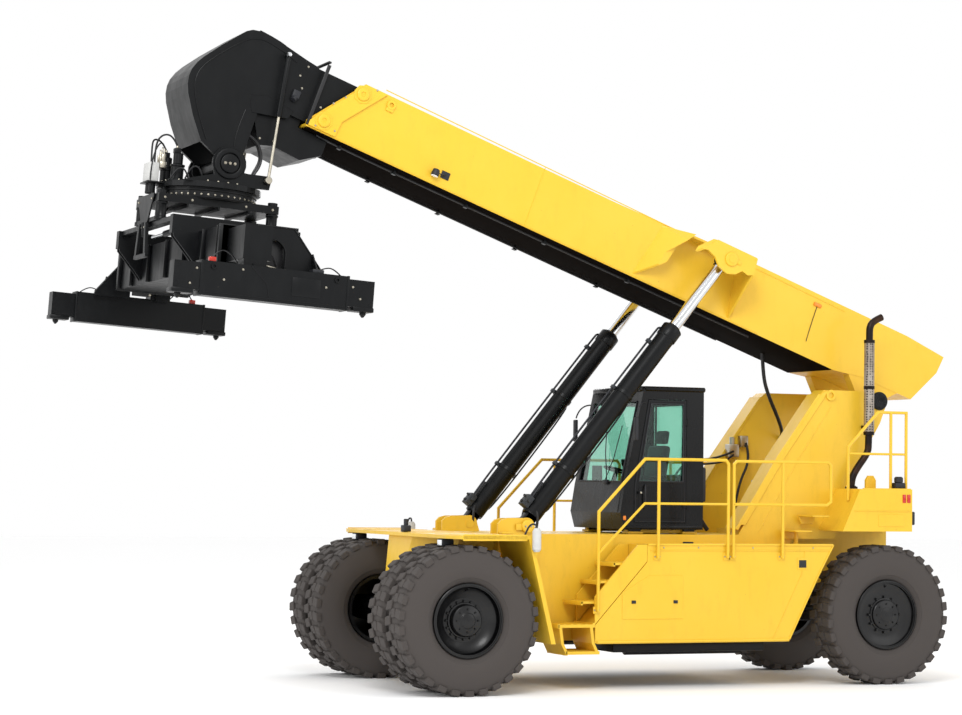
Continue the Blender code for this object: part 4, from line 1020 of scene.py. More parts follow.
        lines = [hose([(0.60, 0.25, 0.17), (0.66, 0.24, 0.30), (0.78, 0.18, 0.32), (0.84, 0.06, 0.20), (0.82, 0.04, -0.05)], 0.012, 2),
                 hose([(0.60, -0.25, 0.17), (0.66, -0.24, 0.28), (0.80, -0.16, 0.30), (0.85, -0.05, 0.18), (0.84, -0.04, -0.05)], 0.012, 2),
                 hose([(0.72, 0.10, 0.16), (0.80, 0.24, 0.24), (0.90, 0.26, 0.06), (0.90, 0.18, -0.20), (0.88, 0.12, -0.29)], 0.009, 2),
                 hose([(0.47, 0.40, -0.25), (0.52, 0.46, -0.13), (0.62, 0.40, -0.10), (0.68, 0.34, -0.24)], 0.011, 2),
                 hose([(0.30, 0.46, -0.25), (0.34, 0.50, -0.10), (0.46, 0.47, -0.06), (0.52, 0.42, -0.24)], 0.011, 2)]
        add_piece("head_hoses", lines, HOSE_RUBBER, "head_block", HEAD)

    def loop(self) -> None:
        """Add the hoses that loop from the boom's head to the rotator, curving round behind the head's pin."""
        for side, way in (("left", 1), ("right", -1)):
            runs = []
            for i in range(2):
                y = (0.46 - 0.06 * i) * way
                runs.append(hose([(-0.20, y, 0.42), (-0.36, y, 0.36), (-0.44, y, 0.16), (-0.42, y, 0.02 + 0.03 * i),
                                  (-0.34, y, -0.10), (-0.30, y, -0.26)], 0.019, 2))
            piece = joined(runs)
            piece.name = piece.data.name = f"head_loop_{side}"
            piece.data.transform(HEAD)
            piece.data.materials.append(HOSE_RUBBER.material())
            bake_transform(piece)

    def build(self) -> None:
        """Add everything on the head."""
        self.nose_trim()
        self.dampers()
        self.rotator()
        self.loop()


@dataclass
class SlewGear:
    """The turntable: bolts round the ring, cushioned posts and the front plate."""

    ring: float = 0.60

    def build(self) -> None:
        """Add the turntable's detail."""
        studs = round_about(bolt((self.ring - 0.004, 0, -0.42), Axis.X, 0.010, 0.016), 44, Axis.Z)
        add_piece("slew_ring_bolts", studs, ZINC, "slew", SLEW)
        rims = [turned([(self.ring - 0.01, z), (self.ring + 0.014, z), (self.ring + 0.014, z + 0.022),
                        (self.ring - 0.01, z + 0.022)], Axis.Z, (0, 0, 0), 72, 0.003) for z in (-0.46, -0.375)]
        sleeves = [turned([(0.05, -0.79), (0.082, -0.79), (0.082, -0.755), (0.070, -0.745), (0.070, -0.60),
                           (0.080, -0.59), (0.080, -0.565), (0.05, -0.565)], Axis.Z, (x, y, 0), 32, 0.003)
                   for x in (-0.72, 0.72) for y in (-0.44, 0.44)]
        caps = [rod((x, y, -0.462), (x, y, -0.415), 0.062, 24) for x in (-0.72, 0.72) for y in (-0.44, 0.44)]
        add_piece("slew_sleeves", rims + sleeves + caps, FRAME_BLACK, "slew", SLEW)
        front = [plate([(-0.37, -0.45), (0.37, -0.45), (0.36, -0.50), (0.28, -0.60), (0.14, -0.82), (-0.14, -0.82),
                        (-0.28, -0.60), (-0.36, -0.50)], 0.785, 0.805, Axis.X),
                 plate([(-0.27, -1.20), (0.27, -1.20), (0.27, -1.25), (-0.27, -1.25)], 0.785, 0.83, Axis.X),
                 plate([(0.10, -0.81), (0.17, -0.81), (0.25, -1.21), (0.17, -1.21)], 0.785, 0.83, Axis.X),
                 plate([(-0.10, -0.81), (-0.17, -0.81), (-0.25, -1.21), (-0.17, -1.21)], 0.785, 0.83, Axis.X),
                 rod((0.80, 0, -0.80), (0.80, 0, -0.98), 0.04, 24, 0.004, 0.015)]
        ribs = [block((x - 0.012, -0.515, -0.60), (x + 0.012, 0.515, -0.555), 0.003) for x in (-0.4, 0.0, 0.4)]
        add_piece("slew_front_plate", front + ribs, FRAME_BLACK, "slew", SLEW)
        nuts = [bolt((0.805, y, z), Axis.X, 0.012, 0.014) for y, z in ((-0.05, -0.86), (0.0, -0.85), (0.05, -0.86),
                                                                     (-0.30, -0.52), (0.30, -0.52))]
        edge = [bolt((x, 0.52, -0.51), Axis.Y, 0.012, 0.014) for x in (-0.70, -0.35, 0.35, 0.70)]
        add_piece("slew_fasteners", nuts + both_sides(*edge), ZINC, "slew", SLEW)
        lines = [hose([(0.62, 0.34, -0.56), (0.70, 0.20, -0.70), (0.60, -0.05, -0.76), (0.50, -0.20, -0.60), (0.45, -0.25, -0.56)], 0.013, 2)]
        add_piece("slew_hoses", lines, HOSE_RUBBER, "slew", SLEW)


@dataclass
class SpreaderGear:
    """The spreader's frame, arms and twistlock ends, as seen with the arms drawn in."""

    body: float = 0.46

    def frame_trim(self) -> None:
        """Add ribs, the side-shift cylinder, the valve bank and hoses to the main frame."""
        ribs = [block((x0, y - 0.012, -1.46), (x0 + 0.05 * way, y + 0.012, -0.98), 0.004) if way > 0 else
                block((x0 + 0.05 * way, y - 0.012, -1.46), (x0, y + 0.012, -0.98), 0.004)
                for way, x0 in ((1, self.body - 0.002), (-1, -self.body + 0.002))
                for y in (-2.2, -1.6, -0.8, 0.0, 0.8, 1.6, 2.2)]
        flanges = [block((-0.50, y - 0.03, -1.475), (0.50, y + 0.03, -0.965), 0.006) for y in (-2.27, 2.27)]
        gussets = [plate([(0.44, -0.99), (0.78, -0.99), (0.78, -1.06), (0.56, -1.30), (0.44, -1.44)],
                         y - 0.012, y + 0.012, Axis.Y) for y in (-1.30, -1.20, 1.20, 1.30)]
        back = [plate([(-0.44, -0.99), (-0.78, -0.99), (-0.78, -1.06), (-0.56, -1.30), (-0.44, -1.44)],
                      y - 0.012, y + 0.012, Axis.Y) for y in (-1.30, -1.20, 1.20, 1.30)]
        add_piece("spreader_ribs", ribs + flanges + gussets + back, FRAME_BLACK, "spreader", SLEW)
        bank = [block((-0.18, -0.62, -0.979), (0.18, -0.20, -0.90), 0.006), block((-0.22, 0.35, -0.979), (0.20, 0.80, -0.885), 0.010)]
        bank += [block((-0.14, -0.60 + i * 0.075, -0.90), (0.10, -0.55 + i * 0.075, -0.865), 0.004) for i in range(5)]
        add_piece("spreader_valves", bank, ENGINE_GREY, "spreader", SLEW)
        lines = [hose([(0.14, -0.58 + i * 0.075, -0.885), (0.30, -0.50 + i * 0.07, -0.87), (0.38, 0.3, -0.93 + 0.004 * i),
                       (0.40, 1.0 + 0.1 * i, -0.955)], 0.011, 2) for i in range(4)]
        lines += [hose([(-0.20, 0.6, -0.93), (-0.34, 0.9, -0.90), (-0.40, 1.6, -0.955), (-0.40, 2.2, -0.955)], 0.013, 2)]
        add_piece("spreader_hoses", lines, HOSE_RUBBER, "spreader", SLEW)
        shift = [rod((0.60, 0.30, -0.94), (0.60, 1.16, -0.94), 0.040, 24, 0.004)]
        add_piece("shift_cylinder", shift, FRAME_BLACK, "spreader", SLEW)
        add_piece("shift_cylinder_rod", [rod((0.60, -0.28, -0.94), (0.60, 0.32, -0.94), 0.020, 24)], CHROME,
                  "spreader", SLEW)

    def arm(self, side: str, place: Matrix) -> None:
        """Add one arm's end: the arched gusset, its fittings, housings, seams and lamps.

        Args:
            side: left or right.
            place: the slew frame, turned half round for the right arm.
        """
        y, face = 2.74, 3.029
        arch = [(-0.19, -1.50), *arc((-0.01, -1.31), 0.18, 180, 0, 16), (0.17, -1.50)]
        bead = hose([(x, y + 0.001, z) for x, z in arch], 0.010, 2, False)
        rim = [hose([(0.35, y, -1.50), (0.21, y, -1.30), (0.165, y, -0.99), (-0.275, y, -0.99), (-0.67, y, -1.48)],
                    0.012, 2, False)]
        housings = [block((x - 0.13, 2.81, -1.935 + 0.04), (x + 0.13, face + 0.004, -1.84), 0.010) for x in (-1.10, 1.10)]
        ends = [rod((x, 2.828, z), (x, 3.030, z), 0.030, 24) for x in (-1.185, 1.185) for z in (-1.575, -1.80)]
        flange = [block((x - 0.014, 2.795, -1.905), (x + 0.014, face + 0.006, -1.495), 0.004) for x in (-0.89, 0.89)]
        seam = [hose([(0.30, face + 0.001, -1.51), (0.10, face + 0.001, -1.70), (0.06, face + 0.001, -1.89)], 0.006, 1, False),
                hose([(-0.86, face + 0.001, -1.86), (0.86, face + 0.001, -1.86)], 0.006, 1, False),
                block((-0.55, face - 0.002, -1.80), (-0.20, face + 0.006, -1.58), 0.004)]
        stiff = [plate([(2.742, -1.50), (2.742, -1.26), (2.76, -1.26), (2.99, -1.50)], x - 0.010, x + 0.010, Axis.X, 0.004) for x in (-0.52, 0.26)]
        hooks = [turned([(0.018, -0.01), (0.034, -0.01), (0.034, 0.01), (0.018, 0.01)], Axis.Y, (x, face + 0.01, -1.56), 20)
                 for x in (-0.75, 0.75)]
        add_piece(f"arm_end_{side}", [bead, *rim, *housings, *ends, *flange, *seam, *stiff, *hooks], FRAME_BLACK,
                  f"extension_{side}", place)
        # Painted shade: a dark block at the back of the arm's well stands in for the shade inside it.
        dark = block((-0.18, 2.60, -1.49), (0.045, 2.66, -1.14), 0.006)
        add_piece(f"arm_well_{side}", [dark], HOSE_RUBBER, f"extension_{side}", place)
        pale = [block((0.035, 2.655, -1.40), (0.085, 2.70, -1.34), 0.004), block((0.02, 2.655, -1.47), (0.09, 2.70, -1.42), 0.004),
                rod((0.02, 2.68, -1.445), (-0.15, 2.68, -1.475), 0.009, 8)]
        pale += [bolt((x, face, z), Axis.Y, 0.011, 0.012) for x, z in ((-0.95, -1.62), (-1.05, -1.75), (0.62, -1.70), (0.95, -1.60),
                                                                      (1.02, -1.78), (0.40, -1.56), (-0.62, -1.66))]
        pale += [bolt((0.12, y, z), Axis.Y, 0.012, 0.014) for z in (-1.03, -1.09)]
        add_piece(f"arm_fittings_{side}", pale, ZINC, f"extension_{side}", place)
        lamp = [block((0.70, 2.86, -1.502), (0.78, 2.94, -1.44), 0.010)]
        add_piece(f"arm_signal_{side}", lamp, RED_LENS, f"extension_{side}", place)
        wires = [hose([(0.74, 2.90, -1.45), (0.66, 2.88, -1.34), (0.50, 2.84, -1.36), (0.40, 2.80, -1.47)], 0.008, 1),
                 hose([(-0.50, 2.90, -1.49), (-0.62, 2.92, -1.42), (-0.74, 2.92, -1.42), (-0.84, 2.90, -1.50)], 0.008, 1),
                 hose([(0.06, 2.69, -1.38), (0.0, 2.70, -1.30), (-0.08, 2.69, -1.36), (-0.12, 2.68, -1.47)], 0.007, 1)]
        add_piece(f"arm_wires_{side}", wires, HOSE_RUBBER, f"extension_{side}", place)
        add_piece(f"arm_gland_{side}", [block((-0.60, 2.84, -1.50), (-0.46, 2.98, -1.455), 0.008)], TRIM_PLASTIC,
                  f"extension_{side}", place)

    def build(self) -> None:
        """Add the spreader's detail."""
        self.frame_trim()
        self.arm("left", SLEW)
        self.arm("right", SLEW @ Matrix.Rotation(math.pi, 4, "Z"))


@dataclass
class Cab:
    """The operator's cab: roof, gaskets, lamps, wipers, mirrors and what is inside."""

    half: float = 0.78
    rear: float = -3.88
    roof: float = 3.89
    floor: float = 2.09

    def outside(self) -> None:
        """Add the roof cap, skirt, front plate, gaskets, wipers, mirrors, lamps, rear boxes and mounts."""
        h = self.half
        cap = plate([(self.rear - 0.02, -h - 0.02), (-3.02, -h - 0.02), (-2.95, -h + 0.06), (-2.95, h - 0.06),
                     (-3.02, h + 0.02), (self.rear - 0.02, h + 0.02)], self.roof - 0.035, self.roof + 0.030, Axis.Z, 0.016)
        ribs = [block((self.rear + 0.10, y - 0.03, self.roof + 0.02), (-3.10, y + 0.03, self.roof + 0.042), 0.008)
                for y in (-0.45, 0.0, 0.45)]
        skirt = [block((self.rear + 0.02, -h - 0.012, 2.035), (-2.74, h + 0.012, 2.085), 0.010)]
        front = [plate([(-2.716, 2.60), (-2.655, 2.27), (-2.715, 2.08), (-2.735, 2.08), (-2.700, 2.26), (-2.740, 2.58)],
                       -0.70, 0.70, Axis.Y, 0.006)]
        add_piece("cab_roof_and_skirts", [cap, *ribs, *skirt, *front], CAB_BLACK, "chassis")
        slope = -0.27 / 1.28
        screen = [(-2.72 + slope * (z - 2.62) + 0.002, y, z) for y, z in ((-0.66, 2.66), (0.66, 2.66), (0.66, 3.72), (-0.66, 3.72), (-0.66, 2.66))]
        side = [(-3.72, -h, 2.60), (-3.72, -h, 3.70), (-3.06, -h, 3.70), (-2.88, -h, 2.60), (-3.72, -h, 2.60)]
        back = [(self.rear, y, z) for y, z in ((-0.62, 2.75), (0.62, 2.75), (0.62, 3.70), (-0.62, 3.70), (-0.62, 2.75))]
        seals = [hose(run, 0.013, 2, False) for run in (screen, side, back)]
        wipers = [hose([(-2.735, 0.20, 2.68), (-2.80, 0.02, 3.05), (-2.875, -0.10, 3.42)], 0.007, 1, False),
                  block((-2.745, 0.15, 2.62), (-2.69, 0.27, 2.68), 0.010),
                  hose([(-2.70, 0.20, 2.65), (-2.765, 0.34, 2.96), (-2.862, 0.40, 3.40)], 0.006, 1, False)]
        arms = [hose([(-3.0, y * 0.80, 3.70), (-2.86, y * 0.93, 3.72), (-2.80, y * 0.93, 3.52)], 0.010, 2) for y in (-1, 1)]
        mirrors = [block((-2.82, min(y * 0.90, y * 0.98), 3.20), (-2.775, max(y * 0.90, y * 0.98), 3.50), 0.018) for y in (-1, 1)]
        add_piece("cab_seals_and_wipers", seals + wipers + arms + mirrors, TRIM_PLASTIC, "chassis")
        lamps = [block((-3.03, y - 0.07, self.roof + 0.005), (-2.96, y + 0.07, self.roof + 0.035), 0.010) for y in (-0.5, 0.5)]
        add_piece("cab_roof_lamps", lamps, CLEAR_LENS, "chassis")
        add_piece("cab_corner_lamp", [block((-2.745, 0.70, 2.15), (-2.70, 0.785, 2.21), 0.010)], AMBER_LENS, "chassis")
        boxes = [block((-4.02, 0.10, 2.40), (-3.885, 0.60, 2.86), 0.02), block((-4.0, -0.60, 2.15), (-3.885, 0.0, 2.70), 0.02),
                 hose([(-3.95, 0.3, 2.42), (-4.05, 0.3, 2.2), (-4.2, 0.3, 2.02)], 0.03, 3)]
        add_piece("cab_rear_boxes", boxes, TRIM_PLASTIC, "chassis")
        feet = [block((x - 0.03, y * 0.62 - 0.10, 1.974), (x + 0.19, y * 0.62 + 0.10, 2.004), 0.006) for x in (-3.80, -3.0) for y in (-1, 1)]
        beam = [block((-3.86, y * 0.60 - 0.05, 1.98), (-2.82, y * 0.60 + 0.05, 2.028), 0.008) for y in (-1, 1)]
        add_piece("cab_mounts", feet + beam, BODY_YELLOW, "chassis")

    def door(self) -> None:
        """Add the door's seal, handle, pocket and grab rail."""
        y = self.half
        run = [(-3.575, y, 2.66), (-3.575, y, 3.69), (-3.10, y, 3.69), (-2.925, y, 2.66), (-3.575, y, 2.66)]
        leaf = [(-3.605, y + 0.001, 2.135), (-3.605, y + 0.001, 3.725), (-3.068, y + 0.001, 3.725), (-2.875, y + 0.001, 2.62),
                (-2.875, y + 0.001, 2.135), (-3.605, y + 0.001, 2.135)]
        rail = hose([(-3.0, y, 2.30), (-3.0, y + 0.05, 2.32), (-3.0, y + 0.05, 2.60), (-3.02, y, 2.62)], 0.010, 2)
        add_piece("door_seals", [hose(run, 0.013, 2, False), hose(leaf, 0.006, 1, False), rail], TRIM_PLASTIC, "cab_door")
        panel = plate([(-3.56, 2.18), (-3.56, 2.58), (-2.92, 2.58), (-2.92, 2.18)], y - 0.002, y + 0.006, Axis.Y, 0.004)
        add_piece("door_panel", [panel], CAB_BLACK, "cab_door")
        add_piece("door_latch", [rod((-2.945, y + 0.028, 2.515), (-2.945, y + 0.036, 2.515), 0.014, 20)], ZINC, "cab_door")

    def inside(self) -> None:
        """Add the seat, the console and the steering wheel."""
        z = self.floor
        cushions = {"seat_cushion": ((-3.60, -0.25, z + 0.30), (-3.09, 0.25, z + 0.43), 0.0),
                    "seat_back": ((-3.63, -0.24, z + 0.44), (-3.51, 0.24, z + 1.06), -9.0),
                    "seat_headrest": ((-3.70, -0.13, z + 1.08), (-3.62, 0.13, z + 1.26), -9.0)}
        for name, (low, high, lean) in cushions.items():
            pad = self.crowned(low, high)
            middle = (Vector(low) + Vector(high)) / 2
            turn = Matrix.Translation(middle) @ Matrix.Rotation(math.radians(lean), 4, "Y") @ Matrix.Translation(-middle)
            pad.data.transform(turn)
            add_piece(name, [pad], SEAT_CLOTH, "chassis")
        base = [block((-3.54, -0.19, z + 0.002), (-3.16, 0.19, z + 0.20), 0.02), block((-3.58, -0.23, z + 0.20), (-3.12, 0.23, z + 0.295), 0.02)]
        arms = [block((-3.56, y * 0.29 - 0.035, z + 0.60), (-3.20, y * 0.29 + 0.035, z + 0.65), 0.018) for y in (-1, 1)]
        posts = [block((-3.54, y * 0.275 - 0.015, z + 0.30), (-3.49, y * 0.275 + 0.015, z + 0.61), 0.006) for y in (-1, 1)]
        stick = [rod((-3.24, -0.29, z + 0.65), (-3.22, -0.29, z + 0.80), 0.012, 12), rod((-3.225, -0.29, z + 0.78), (-3.215, -0.29, z + 0.87), 0.024, 16, 0.008)]
        screen = [block((-2.90, -0.52, z + 0.55), (-2.86, -0.26, z + 0.78), 0.012), hose([(-2.86, -0.40, z + 0.62), (-2.80, -0.42, z + 0.40)], 0.014, 2)]
        add_piece("seat_base", base + arms + posts + stick + screen, TRIM_PLASTIC, "chassis", stands_for=["driver_seat"])
        tilt = Matrix.Translation((-2.98, 0, z + 0.72)) @ Matrix.Rotation(math.radians(-16), 4, "Y")
        wheel = turned([(0.167 + 0.014 * math.cos(a * math.pi / 4), 0.014 * math.sin(a * math.pi / 4)) for a in range(8)], Axis.Z, (0, 0, 0), 48)
        spokes = round_about(block((0.02, -0.016, -0.006), (0.165, 0.016, 0.006), 0.004), 3, Axis.Z)
        hub = rod((0, 0, -0.03), (0, 0, 0.022), 0.045, 24, 0.008)
        for part in (wheel, *spokes, hub):
            part.data.transform(tilt)
        post = [rod((-2.86, 0, z + 0.30), (-2.978, 0, z + 0.705), 0.032, 20, 0.004), block((-2.94, -0.10, z + 0.002), (-2.81, 0.10, z + 0.34), 0.02)]
        add_piece("steering_wheel", [wheel, *spokes, hub, *post], TRIM_PLASTIC, "chassis", stands_for=["steering_column"])

    def crowned(self, low: Point, high: Point) -> Obj:
        """Return a cushion between two corners whose big face is crowned."""
        deselect()
        centre = [(a + b) / 2 for a, b in zip(low, high)]
        size = [b - a for a, b in zip(low, high)]
        bpy.ops.mesh.primitive_cube_add(size=1, location=centre, scale=size)
        pad = settle(bpy.context.object)
        soften(pad, min(size) * 0.34, 3)
        bpy.ops.object.mode_set(mode="EDIT")
        bpy.ops.mesh.select_all(action="SELECT")
        bpy.ops.mesh.subdivide(number_cuts=5, smoothness=0.0)
        bpy.ops.object.mode_set(mode="OBJECT")
        thin = size.index(min(size))
        others = [i for i in range(3) if i != thin]
        for vertex in pad.data.vertices:
            away = vertex.co[thin] - centre[thin]
            crown = math.prod(math.cos(math.pi * (vertex.co[i] - centre[i]) / size[i]) for i in others)
            vertex.co[thin] += math.copysign(0.16 * size[thin] * max(crown, 0.0), away) if abs(away) > size[thin] * 0.3 else 0.0
        bpy.ops.object.shade_smooth()
        return pad

    def build(self) -> None:
        """Add the cab's detail."""
        self.outside()
        self.door()
        self.inside()


@dataclass
class ChassisTrim:
    """Deck, tanks, steps, towers, counterweight, exhaust and what hangs under the frame."""

    side: float = 1.58
    deck_top: float = 1.97
    weight_top: float = 2.60
    tower: Pair = (0.68, 0.95)

    def deck(self) -> None:
        """Add the deck's edge, tread strips, lamps, mirror and the lift pins' caps."""
        top = self.deck_top
        strips = [block((-0.70, y - 0.16, top - 0.001), (0.10, y + 0.16, top + 0.006), 0.003) for y in (0.35, 1.30, 1.80)]
        edge = [block((-0.76, 2.062, top - 0.065), (0.10, 2.080, top + 0.014), 0.006),
                hose([(-1.115, 1.12, 0.66), (-0.815, 1.12, 1.94)], 0.012, 2, False), hose([(-1.115, 2.07, 0.66), (-0.815, 2.07, 1.94)], 0.012, 2, False)]
        foot = joint("lift_base_left")["pos_m"]
        x, z = foot[0] - MACHINE[0][3], foot[2]
        caps = [turned([(0.001, 1.095), (0.085, 1.095), (0.085, 1.125), (0.075, 1.135), (0.001, 1.135)], Axis.Y, (x, 0, z), 40, 0.003),
                block((x + 0.06, 1.09, z - 0.05), (x + 0.16, 1.108, z + 0.03), 0.005),
                block((-0.95, 1.08, top + 0.004), (-0.80, 1.20, top + 0.03), 0.006)]
        add_piece("deck_trim", both_sides(*strips, *edge, *caps), BODY_YELLOW, "chassis")
        bolts = [bolt((x + dx, 1.136, z + dz), Axis.Y, 0.010, 0.012) for dx, dz in ((0.04, 0.0), (-0.04, 0.0))]
        add_piece("deck_bolts", both_sides(*bolts), ZINC, "chassis")
        lamp = [block((0.05, 0.06, top + 0.001), (0.15, 0.20, top + 0.09), 0.015), rod((0.10, 0.13, top + 0.08), (0.10, 0.13, top + 0.17), 0.03, 20, 0.008)]
        lamp += [block((0.04, y - 0.09, top - 0.145), (0.20, y + 0.09, top - 0.05), 0.02) for y in (-1.55, 1.55)]
        add_piece("deck_lamps", lamp, TRIM_PLASTIC, "chassis")
        add_piece("deck_lenses", [block((0.195, y - 0.07, top - 0.13), (0.204, y + 0.07, top - 0.065), 0.004) for y in (-1.55, 1.55)], CLEAR_LENS, "chassis")
        mirror = [turned([(0.001, 0.0), (0.035, 0.005), (0.055, 0.035), (0.055, 0.26), (0.035, 0.295), (0.001, 0.30)], Axis.Z, (-0.86, 2.135, top - 0.20), 28)]
        add_piece("deck_mirror", both_sides(*mirror), GREY_PLASTIC, "chassis")
        stalk = hose([(-0.74, 2.04, top), (-0.78, 2.06, top + 0.14), (-0.86, 2.13, top + 0.15), (-0.86, 2.135, top + 0.09)], 0.012, 2)
        lines = [hose([(-1.25, 0.86, top), (-1.22, 0.80, top + 0.22), (-1.27, 0.84, top + 0.34)], 0.018, 2),
                 hose([(-1.32, 1.04, top), (-1.36, 1.10, top + 0.20), (-1.32, 1.05, top + 0.32)], 0.018, 2)]
        add_piece("deck_hoses", both_sides(stalk, *lines), HOSE_RUBBER, "chassis")

    def tanks(self) -> None:
        """Add the side tanks' lips, folds, doors, latches and the recess near the rear, with painted shade inside the
        recess.
        """
        y = self.side
        lips = [block((-5.40, y - 0.03, 1.842), (-2.67, y + 0.016, 1.868), 0.006), block((-5.36, y - 0.01, 1.775), (-2.70, y + 0.010, 1.790), 0.004),
                plate([(-2.31, 0.90), (-2.31, 1.24), (-2.70, 1.46), (-3.18, 1.46), (-3.18, 0.90)], y - 0.003, y + 0.007, Axis.Y, 0.005),
                hose([(-1.96, y - 0.004, 0.612), (-4.74, y - 0.004, 0.612)], 0.022, 3, False),
                hose([(-4.75, y + 0.002, 0.62), (-5.19, y + 0.002, 1.47), (-5.40, y + 0.002, 1.84)], 0.012, 2, False),
                hose([(-4.50, y + 0.001, 0.62), (-4.93, y + 0.001, 1.47), (-4.98, y + 0.001, 1.78)], 0.006, 1, False)]
        frame_of_hole = [block((-5.02, y - 0.002, 1.53), (-4.86, y + 0.006, 1.68), 0.005)]
        add_piece("tank_trim", both_sides(*lips, *frame_of_hole), BODY_YELLOW, "chassis")
        # The first block is painted shade: a dark plate inside the framed recess stands in for the shade in it; the
        # others are latches and a cap.
        dark = [block((-4.995, y + 0.004, 1.555), (-4.885, y + 0.008, 1.655), 0.002), block((-2.50, y + 0.006, 1.10), (-2.44, y + 0.018, 1.14), 0.004),
                block((-3.10, y + 0.006, 1.10), (-3.04, y + 0.018, 1.14), 0.004), rod((-3.35, y - 0.2, 1.85), (-3.35, y - 0.2, 1.885), 0.07, 28)]
        add_piece("tank_latches", both_sides(*dark), TRIM_PLASTIC, "chassis")
        screws = [bolt((x, y, 1.815), Axis.Y, 0.009, 0.010) for x in (-2.9, -3.4, -4.2, -5.1)]
        add_piece("tank_screws", both_sides(*screws), ZINC, "chassis")
        belly = [block((-4.45, 0.40, 0.47), (-2.25, 1.45, 0.598), 0.02), rod((-4.3, 1.05, 0.50), (-2.6, 1.05, 0.50), 0.09, 28, 0.01)]
        add_piece("tank_belly", both_sides(*belly), FRAME_BLACK, "chassis")

    def steps(self) -> None:
        """Add the steps' treads, rims and the two small steps to the counterweight."""
        y = self.side
        rims = []
        for back, z in ((-2.17, 1.13), (-2.41, 1.39), (-2.62, 1.62)):
            rims += [block((back + 0.395, 1.0, z - 0.05), (back + 0.425, y - 0.03, z + 0.004), 0.005)]
            rims += [block((back + 0.04 + i * 0.085, 1.06, z - 0.002), (back + 0.07 + i * 0.085, y - 0.08, z + 0.006), 0.002) for i in range(4)]
        rims += [block((-1.44, 1.0, 0.79), (-1.41, y, 0.85), 0.005), block((-1.555, 1.0, 0.45), (-1.525, y, 0.51), 0.005)]
        rims += [block((-1.86 + i * 0.10, 1.05, 0.839), (-1.82 + i * 0.10, y - 0.06, 0.846), 0.002) for i in range(4)]
        small = [plate([(x, z), (x + 0.26, z), (x + 0.22, z - 0.10), (x + 0.04, z - 0.10)], 1.02, 1.05, Axis.Y) for x, z in ((-5.18, 2.02), (-5.44, 2.22))]
        small += [block((x, 1.02, z), (x + 0.26, 1.42, z + 0.02), 0.006) for x, z in ((-5.18, 2.02), (-5.44, 2.22))]
        small += [block((x + 0.10, 1.18, 1.852), (x + 0.14, 1.22, z + 0.004), 0.006) for x, z in ((-5.18, 2.02),)]
        add_piece("step_rims", both_sides(*rims, *small), BODY_YELLOW, "chassis")
        feet = [(x, y + 0.001, z) for x, z in ((-3.81, 1.70), (-2.80, 1.70), (-1.95, 1.02), (-3.89, 1.70), (-4.62, 1.70))]
        pads = [block((x - 0.05, py - 0.003, z - 0.045), (x + 0.05, py + 0.010, z + 0.045), 0.004) for x, py, z in feet]
        nuts = [bolt((x + dx, y + 0.010, z), Axis.Y, 0.009, 0.010) for x, _, z in feet for dx in (-0.032, 0.032)]
        add_piece("rail_pads", both_sides(*pads), BODY_YELLOW, "chassis")
        add_piece("rail_nuts", both_sides(*nuts), ZINC, "chassis")

    def towers(self) -> None:
        """Add the towers' front flanges, lifting holes, bosses, valves and hoses."""
        low, high = self.tower
        band = plate([(-4.31, 2.10), (-4.95, 3.03), (-5.57, 3.88), (-5.68, 3.935), (-5.60, 3.80), (-5.02, 3.02), (-4.42, 2.10)], high - 0.002, high + 0.022, Axis.Y, 0.005)
        flange = plate([(-4.27, 2.05), (-4.90, 3.03), (-5.53, 3.88), (-5.56, 3.86), (-4.94, 3.01), (-4.31, 2.03)], low - 0.02, high + 0.02, Axis.Y, 0.005)
        lug = turned([(0.038, high - 0.002), (0.075, high - 0.002), (0.075, high + 0.024), (0.038, high + 0.024)], Axis.Y, (-5.72, 0, 3.86), 32, 0.003)
        seam = hose([(-4.62, high + 0.001, 2.0), (-5.25, high + 0.001, 3.02), (-5.72, high + 0.001, 3.70)], 0.006, 1, False)
        add_piece("tower_trim", both_sides(band, flange, lug, seam), BODY_YELLOW, "chassis")
        valves = [block((-5.14, -low + 0.002, 3.02), (-4.98, -low + 0.13, 3.20), 0.01), rod((-5.06, -low + 0.06, 3.20), (-5.06, -low + 0.06, 3.30), 0.035, 20),
                  block((-5.30, -low + 0.002, 3.16), (-5.18, -low + 0.10, 3.32), 0.01), block((-4.90, low - 0.12, 2.5), (-4.72, low - 0.002, 2.7), 0.012)]
        add_piece("tower_valves", valves, ZINC, "chassis")
        pipe = hose([(-5.30, -0.20, 4.52), (-5.31, -0.20, 4.15), (-5.42, -0.22, 3.86), (-5.62, -0.30, 3.56), (-5.80, -0.48, 3.34), (-5.86, -0.675, 3.30)], 0.026, 3)
        pipe.name = pipe.data.name = "boom_foot_hose"
        pipe.data.transform(MACHINE)
        pipe.data.materials.append(HOSE_RUBBER.material())
        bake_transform(pipe)
        lines = [hose([(-5.05, -low + 0.13, 3.10), (-4.92, -low + 0.16, 3.05), (-4.62, -0.45, 2.98), (-4.30, -0.35, 2.98), (-4.02, -0.30, 2.80), (-3.95, -0.30, 2.60)], 0.016, 2),
                 hose([(-5.05, -low + 0.13, 3.05), (-4.90, -low + 0.18, 2.95), (-4.60, -0.42, 2.92), (-4.28, -0.30, 2.90), (-4.0, -0.25, 2.72), (-3.95, -0.25, 2.55)], 0.014, 2),
                 hose([(-5.26, -low + 0.10, 3.22), (-5.30, -low + 0.18, 3.0), (-5.10, -low + 0.14, 2.6), (-5.0, -0.5, 2.0)], 0.018, 2)]
        add_piece("tower_hoses", lines, HOSE_RUBBER, "chassis")

